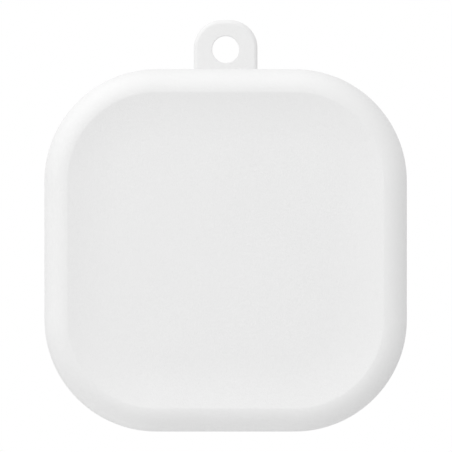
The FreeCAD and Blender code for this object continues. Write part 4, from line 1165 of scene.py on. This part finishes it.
resistorLook = {
    "colour": (0.27, 0.4, 0.43),
    "roughness": 0.48,
    "chalk": 0.14 * mm,
    "chalkDepth": 0.012 * mm,
    "wobble": 0.5 * mm,
    "bands": [
        (0.2, (0.2, 0.06, 0.02)),
        (0.34, (0.01, 0.01, 0.01)),
        (0.48, (0.01, 0.01, 0.01)),
        (0.72, (0.6, 0.42, 0.1)),
    ],
    "bandWidth": 0.07,
}


def bandedResistor(name, look):
    # flameproof coat with its painted rings across the length
    finish = Finish(name, look)
    low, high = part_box("fusible_resistor")
    share = (finish.along("X") - low.x) / (high.x - low.x)
    chalk = finish.noise(look["chalk"], 4, 0.6)
    wobble = finish.noise(look["wobble"], 1)
    finish.shade(chalk.past(0.6, 0.2) * 0.5, 0.8)
    edge = share + (wobble - 0.5) * 0.012
    for start, colour in look["bands"]:
        finish.tint(edge.between(start, start + look["bandWidth"], 0.008), colour)
    finish.vary(0.08, chalk)
    finish.relief(chalk, look["chalkDepth"])
    return finish


ferriteLook = {
    "colour": (0.075, 0.072, 0.072),
    "roughness": 0.5,
    "crystal": 0.09 * mm,
    "crystalGlintTone": 2.6,
    "grinding": 0.12 * mm,
    "grindingDepth": 0.003 * mm,
    "chip": 0.8 * mm,
    "chipShadeTone": 0.55,
    "chipDepth": 0.02 * mm,
}


def sinteredFerrite(name, look):
    # pressed and sintered: crystals with painted glints, ground faces, and small chips darkened with painted
    # shade
    finish = Finish(name, look)
    crystal = finish.grains(look["crystal"])
    ground = finish.streaks("X", look["grinding"], 20)
    chips = finish.noise(look["chip"], 4, 0.7)
    # painted glints on the crystals
    finish.shade(crystal.past(0.85, 0.05), look["crystalGlintTone"])
    # painted shade in the chips
    finish.shade(chips.past(0.66, 0.05) * 0.7, look["chipShadeTone"])
    finish.vary(0.14, crystal * 0.5 + ground * 0.5)
    under = finish.relief(ground, look["grindingDepth"])
    finish.relief(1 - chips.past(0.66, 0.05), look["chipDepth"], under)
    return finish


wireLook = {
    "colour": (0.6, 0.24, 0.09),
    "roughness": 0.24,
    "metallic": 1.0,
    "turn": 0.36 * mm,
    "turnDepth": 0.09 * mm,
    "gapShadeTone": 0.22,
    "sway": 0.14 * mm,
    "swaySize": 1.5 * mm,
    "enamel": 0.7 * mm,
}


def woundWire(name, look):
    # enamelled copper laid turn by turn round the drum, with painted shade in the grooves between turns
    finish = Finish(name, look)
    sway = finish.noise(look["swaySize"], 1) * look["sway"]
    turn = (finish.along("Y") + sway).repeated(look["turn"]) - 0.5
    bulge = 1 - 4 * turn * turn
    enamel = finish.noise(look["enamel"], 3)
    # painted shade in the grooves between turns
    finish.shade(1 - bulge.past(0.3, 0.3), look["gapShadeTone"])
    finish.shade(enamel.past(0.6, 0.2) * 0.5, 0.7)
    finish.vary(0.08, enamel)
    finish.relief(bulge, look["turnDepth"])
    return finish


sleeveLooks = {
    "bulk": dict(colour=(0.07, 0.035, 0.024), roughness=0.26, stripe=(0.5, 0.44, 0.34)),
    "output": dict(colour=(0.022, 0.035, 0.085), roughness=0.26, stripe=(0.46, 0.5, 0.54)),
}
sleeve = {
    "stripeHalf": 0.95 * mm,
    "dashHalf": 0.22 * mm,
    "dashPitch": 1.9 * mm,
    "ripple": 1.2 * mm,
    "rippleDepth": 0.03 * mm,
    "foldReach": 0.6 * mm,
    "fold": 0.35 * mm,
    "foldDepth": 0.05 * mm,
}


def shrunkSleeve(name, look, node, lengthAxis):
    # shrink sleeve with a pale stripe at its minus lead, broken by plain dashes, and folds at its ends
    finish = Finish(name, look)
    low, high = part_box(node)
    middle = (low + high) / 2
    ripple = finish.noise(sleeve["ripple"], 2)
    if lengthAxis == "Z":
        # two cans side by side: the distance from the plane between them serves both
        side = abs(finish.along("X") - middle.x) - (high.x - low.x) / 4
        faces = 1 - finish.along("Y").past(middle.y, 0.2 * mm)
        run, start, end = finish.along("Z"), low.z, high.z
    else:
        side = finish.along("Z") - middle.z
        faces = finish.along("X").past(middle.x, 0.2 * mm)
        run, start, end = finish.along("Y"), low.y, high.y
    stripe = (1 - abs(side).past(sleeve["stripeHalf"], 0.06 * mm)) * faces
    narrow = 1 - abs(side).past(sleeve["dashHalf"], 0.05 * mm)
    dash = run.repeated(sleeve["dashPitch"]).between(0.3, 0.68, 0.05) * narrow * faces
    finish.tint(stripe, look["stripe"])
    finish.tint(dash, look["colour"])
    atStart = 1 - (run - start).past(sleeve["foldReach"], 0.3 * mm)
    atEnd = (run - end).past(-sleeve["foldReach"], 0.3 * mm)
    finish.vary(0.08, ripple)
    under = finish.relief(ripple, sleeve["rippleDepth"])
    finish.relief(finish.noise(sleeve["fold"], 2) * (atStart + atEnd), sleeve["foldDepth"], under)
    return finish


chipPartLook = {
    "colour": (0.4, 0.31, 0.22),
    "roughness": 0.42,
    "stratum": 0.04 * mm,
    "speck": 0.07 * mm,
    "speckTone": 0.4,
    "speckDepth": 0.002 * mm,
}


def chipCeramic(name, look):
    # layered ceramic: fine strata, a few dark specks and a sintered skin
    finish = Finish(name, look)
    strata = finish.streaks("X", look["stratum"], 12)
    speck = finish.grains(look["speck"])
    finish.shade(strata.past(0.55, 0.2) * 0.5, 0.8)
    finish.shade(speck.past(0.9, 0.04), look["speckTone"])
    finish.vary(0.08, strata)
    finish.relief(speck, look["speckDepth"])
    return finish


finishes = {
    "shell_white": satinShell("shellWhite", shellLook),
    "button_white": satinShell("buttonWhite", buttonLook),
    "blade_nickel": plugBlade("bladeNickel", bladeLook),
    "screw_zinc": zincScrew("screwZinc", screwLook),
    "chip_black": chipEpoxy("chipBlack", chipLook),
    "chip_part": chipCeramic("chipCeramic", chipPartLook),
    "sheet_black": filmSheet("sheetBlack", sheetLook),
    "winding_tape": wrappedTape("windingTape", tapeLook),
    "clear_guide": clearGuide("clearGuide", guideLook),
    "solder_bright": brightSolder("solderBright", solderLook),
    "board_green": maskedBoard("boardGreen", boardLook),
    "resistor_coat": bandedResistor("resistorCoat", resistorLook),
    "ferrite": sinteredFerrite("ferrite", ferriteLook),
    "choke_wire": woundWire("chokeWire", wireLook),
    "bulk_sleeve": shrunkSleeve("bulkSleeve", sleeveLooks["bulk"], "bulk_capacitor_sleeves", "Z"),
    "output_sleeve": shrunkSleeve("outputSleeve", sleeveLooks["output"], "output_capacitor_sleeve", "Y"),
}
for slot, look in mouldedLooks.items():
    finishes[slot] = mouldedPart(slot, look)
for slot, look in dippedLooks.items():
    finishes[slot] = dippedCoat(slot, look)
for slot, look in strips.items():
    finishes[slot] = rolledStrip(slot, look)
caseScrewFinish = zincScrew("caseScrewZinc", screwLook, screwPlaces)
print("finishes made:", len(finishes) + 1)


def dress(piece, finish):
    piece.data.materials.clear()
    piece.data.materials.append(finish.material)


for entry in frame["record"]["subparts"]:
    dress(frame["nodes"][entry["node"]], finishes[entry["material_slot"]])
dress(frame["nodes"]["case_screws"], caseScrewFinish)
for piece, node, body, slot in modelled:
    dress(piece, finishes[slot])


# Studio

studio = {
    "cameraAway": 2.4,  # from the plane of the body's widest outline
    "cameraX": 0.05 * mm,
    "cameraZ": 3.49 * mm,
    "view": 64.84 * mm,  # how much of that plane the frame takes in
    "sensor": 36,
    "clipStart": 0.1,
    "clipEnd": 60,
    "roomLight": 0.72,
    "floorZ": -70 * mm,
    "floorSize": 5.6,
    "floorLook": {"colour": (0.75, 0.75, 0.75), "roughness": 0.8},
}

# a large key from the upper left, and the faint light that a white table throws back from below
lamps = {
    "key": {"from": (-0.42, -0.55, 0.72), "away": 1.2, "size": 2.4, "power": 11.75},
    "table": {"from": (-0.34, 0.35, -0.87), "away": 1.2, "size": 0.8, "power": 1.6},
}


def setCamera():
    bpy.ops.object.camera_add(
        location=(studio["cameraX"], rimStart - studio["cameraAway"], studio["cameraZ"]),
        rotation=(math.pi / 2, 0, 0),
    )
    camera = bpy.context.object
    camera.name = "camera"
    camera.data.sensor_width = studio["sensor"]
    camera.data.lens = studio["sensor"] * studio["cameraAway"] / studio["view"]
    camera.data.clip_start = studio["clipStart"]
    camera.data.clip_end = studio["clipEnd"]
    bpy.context.scene.camera = camera


def setLamp(name, look):
    place = Vector(look["from"]).normalized() * look["away"]
    bpy.ops.object.light_add(type="AREA", location=place)
    lamp = bpy.context.object
    lamp.name = name
    lamp.rotation_euler = place.to_track_quat("Z", "Y").to_euler()
    lamp.data.shape = "DISK"
    lamp.data.size = look["size"]
    lamp.data.energy = look["power"]
    lamp.visible_camera = False


def setRoom():
    # an even room that shows as white to the camera, in every gloss and through glass
    world = bpy.data.worlds.new("room")
    bpy.context.scene.world = world
    world.use_nodes = True
    tree = world.node_tree
    tree.nodes.clear()
    path = tree.nodes.new("ShaderNodeLightPath")
    seen = tree.nodes.new("ShaderNodeMath")
    seen.operation = "ADD"
    seen.use_clamp = True
    tree.links.new(path.outputs["Is Camera Ray"], seen.inputs[0])
    mirrored = tree.nodes.new("ShaderNodeMath")
    mirrored.operation = "ADD"
    tree.links.new(path.outputs["Is Glossy Ray"], mirrored.inputs[0])
    tree.links.new(path.outputs["Is Transmission Ray"], mirrored.inputs[1])
    tree.links.new(mirrored.outputs[0], seen.inputs[1])
    lit = tree.nodes.new("ShaderNodeBackground")
    lit.inputs["Strength"].default_value = studio["roomLight"]
    white = tree.nodes.new("ShaderNodeBackground")
    for background in (lit, white):
        background.inputs["Color"].default_value = (1, 1, 1, 1)
    choice = tree.nodes.new("ShaderNodeMixShader")
    tree.links.new(seen.outputs[0], choice.inputs[0])
    tree.links.new(lit.outputs[0], choice.inputs[1])
    tree.links.new(white.outputs[0], choice.inputs[2])
    out = tree.nodes.new("ShaderNodeOutputWorld")
    tree.links.new(choice.outputs[0], out.inputs["Surface"])


def layFloor():
    # a pale floor that is clear from below
    deselectAll()
    bpy.ops.mesh.primitive_plane_add(size=studio["floorSize"], location=(0, 0, studio["floorZ"]))
    floor = bpy.context.object
    floor.name = "floor"
    bpy.ops.object.transform_apply(location=True, rotation=True, scale=True)
    finish = Finish("floorWhite", studio["floorLook"])
    tree = finish.tree
    clear = tree.nodes.new("ShaderNodeBsdfTransparent")
    sides = tree.nodes.new("ShaderNodeNewGeometry")
    mix = tree.nodes.new("ShaderNodeMixShader")
    tree.links.new(sides.outputs["Backfacing"], mix.inputs[0])
    tree.links.new(finish.shader.outputs[0], mix.inputs[1])
    tree.links.new(clear.outputs[0], mix.inputs[2])
    tree.links.new(mix.outputs[0], tree.nodes["Material Output"].inputs["Surface"])
    floor.data.materials.append(finish.material)
    floor.visible_shadow = False  # the table's light comes up through it


setCamera()
for name, look in lamps.items():
    setLamp(name, look)
setRoom()
layFloor()
scene = bpy.context.scene
scene.view_settings.view_transform = "Standard"
print("studio ready")
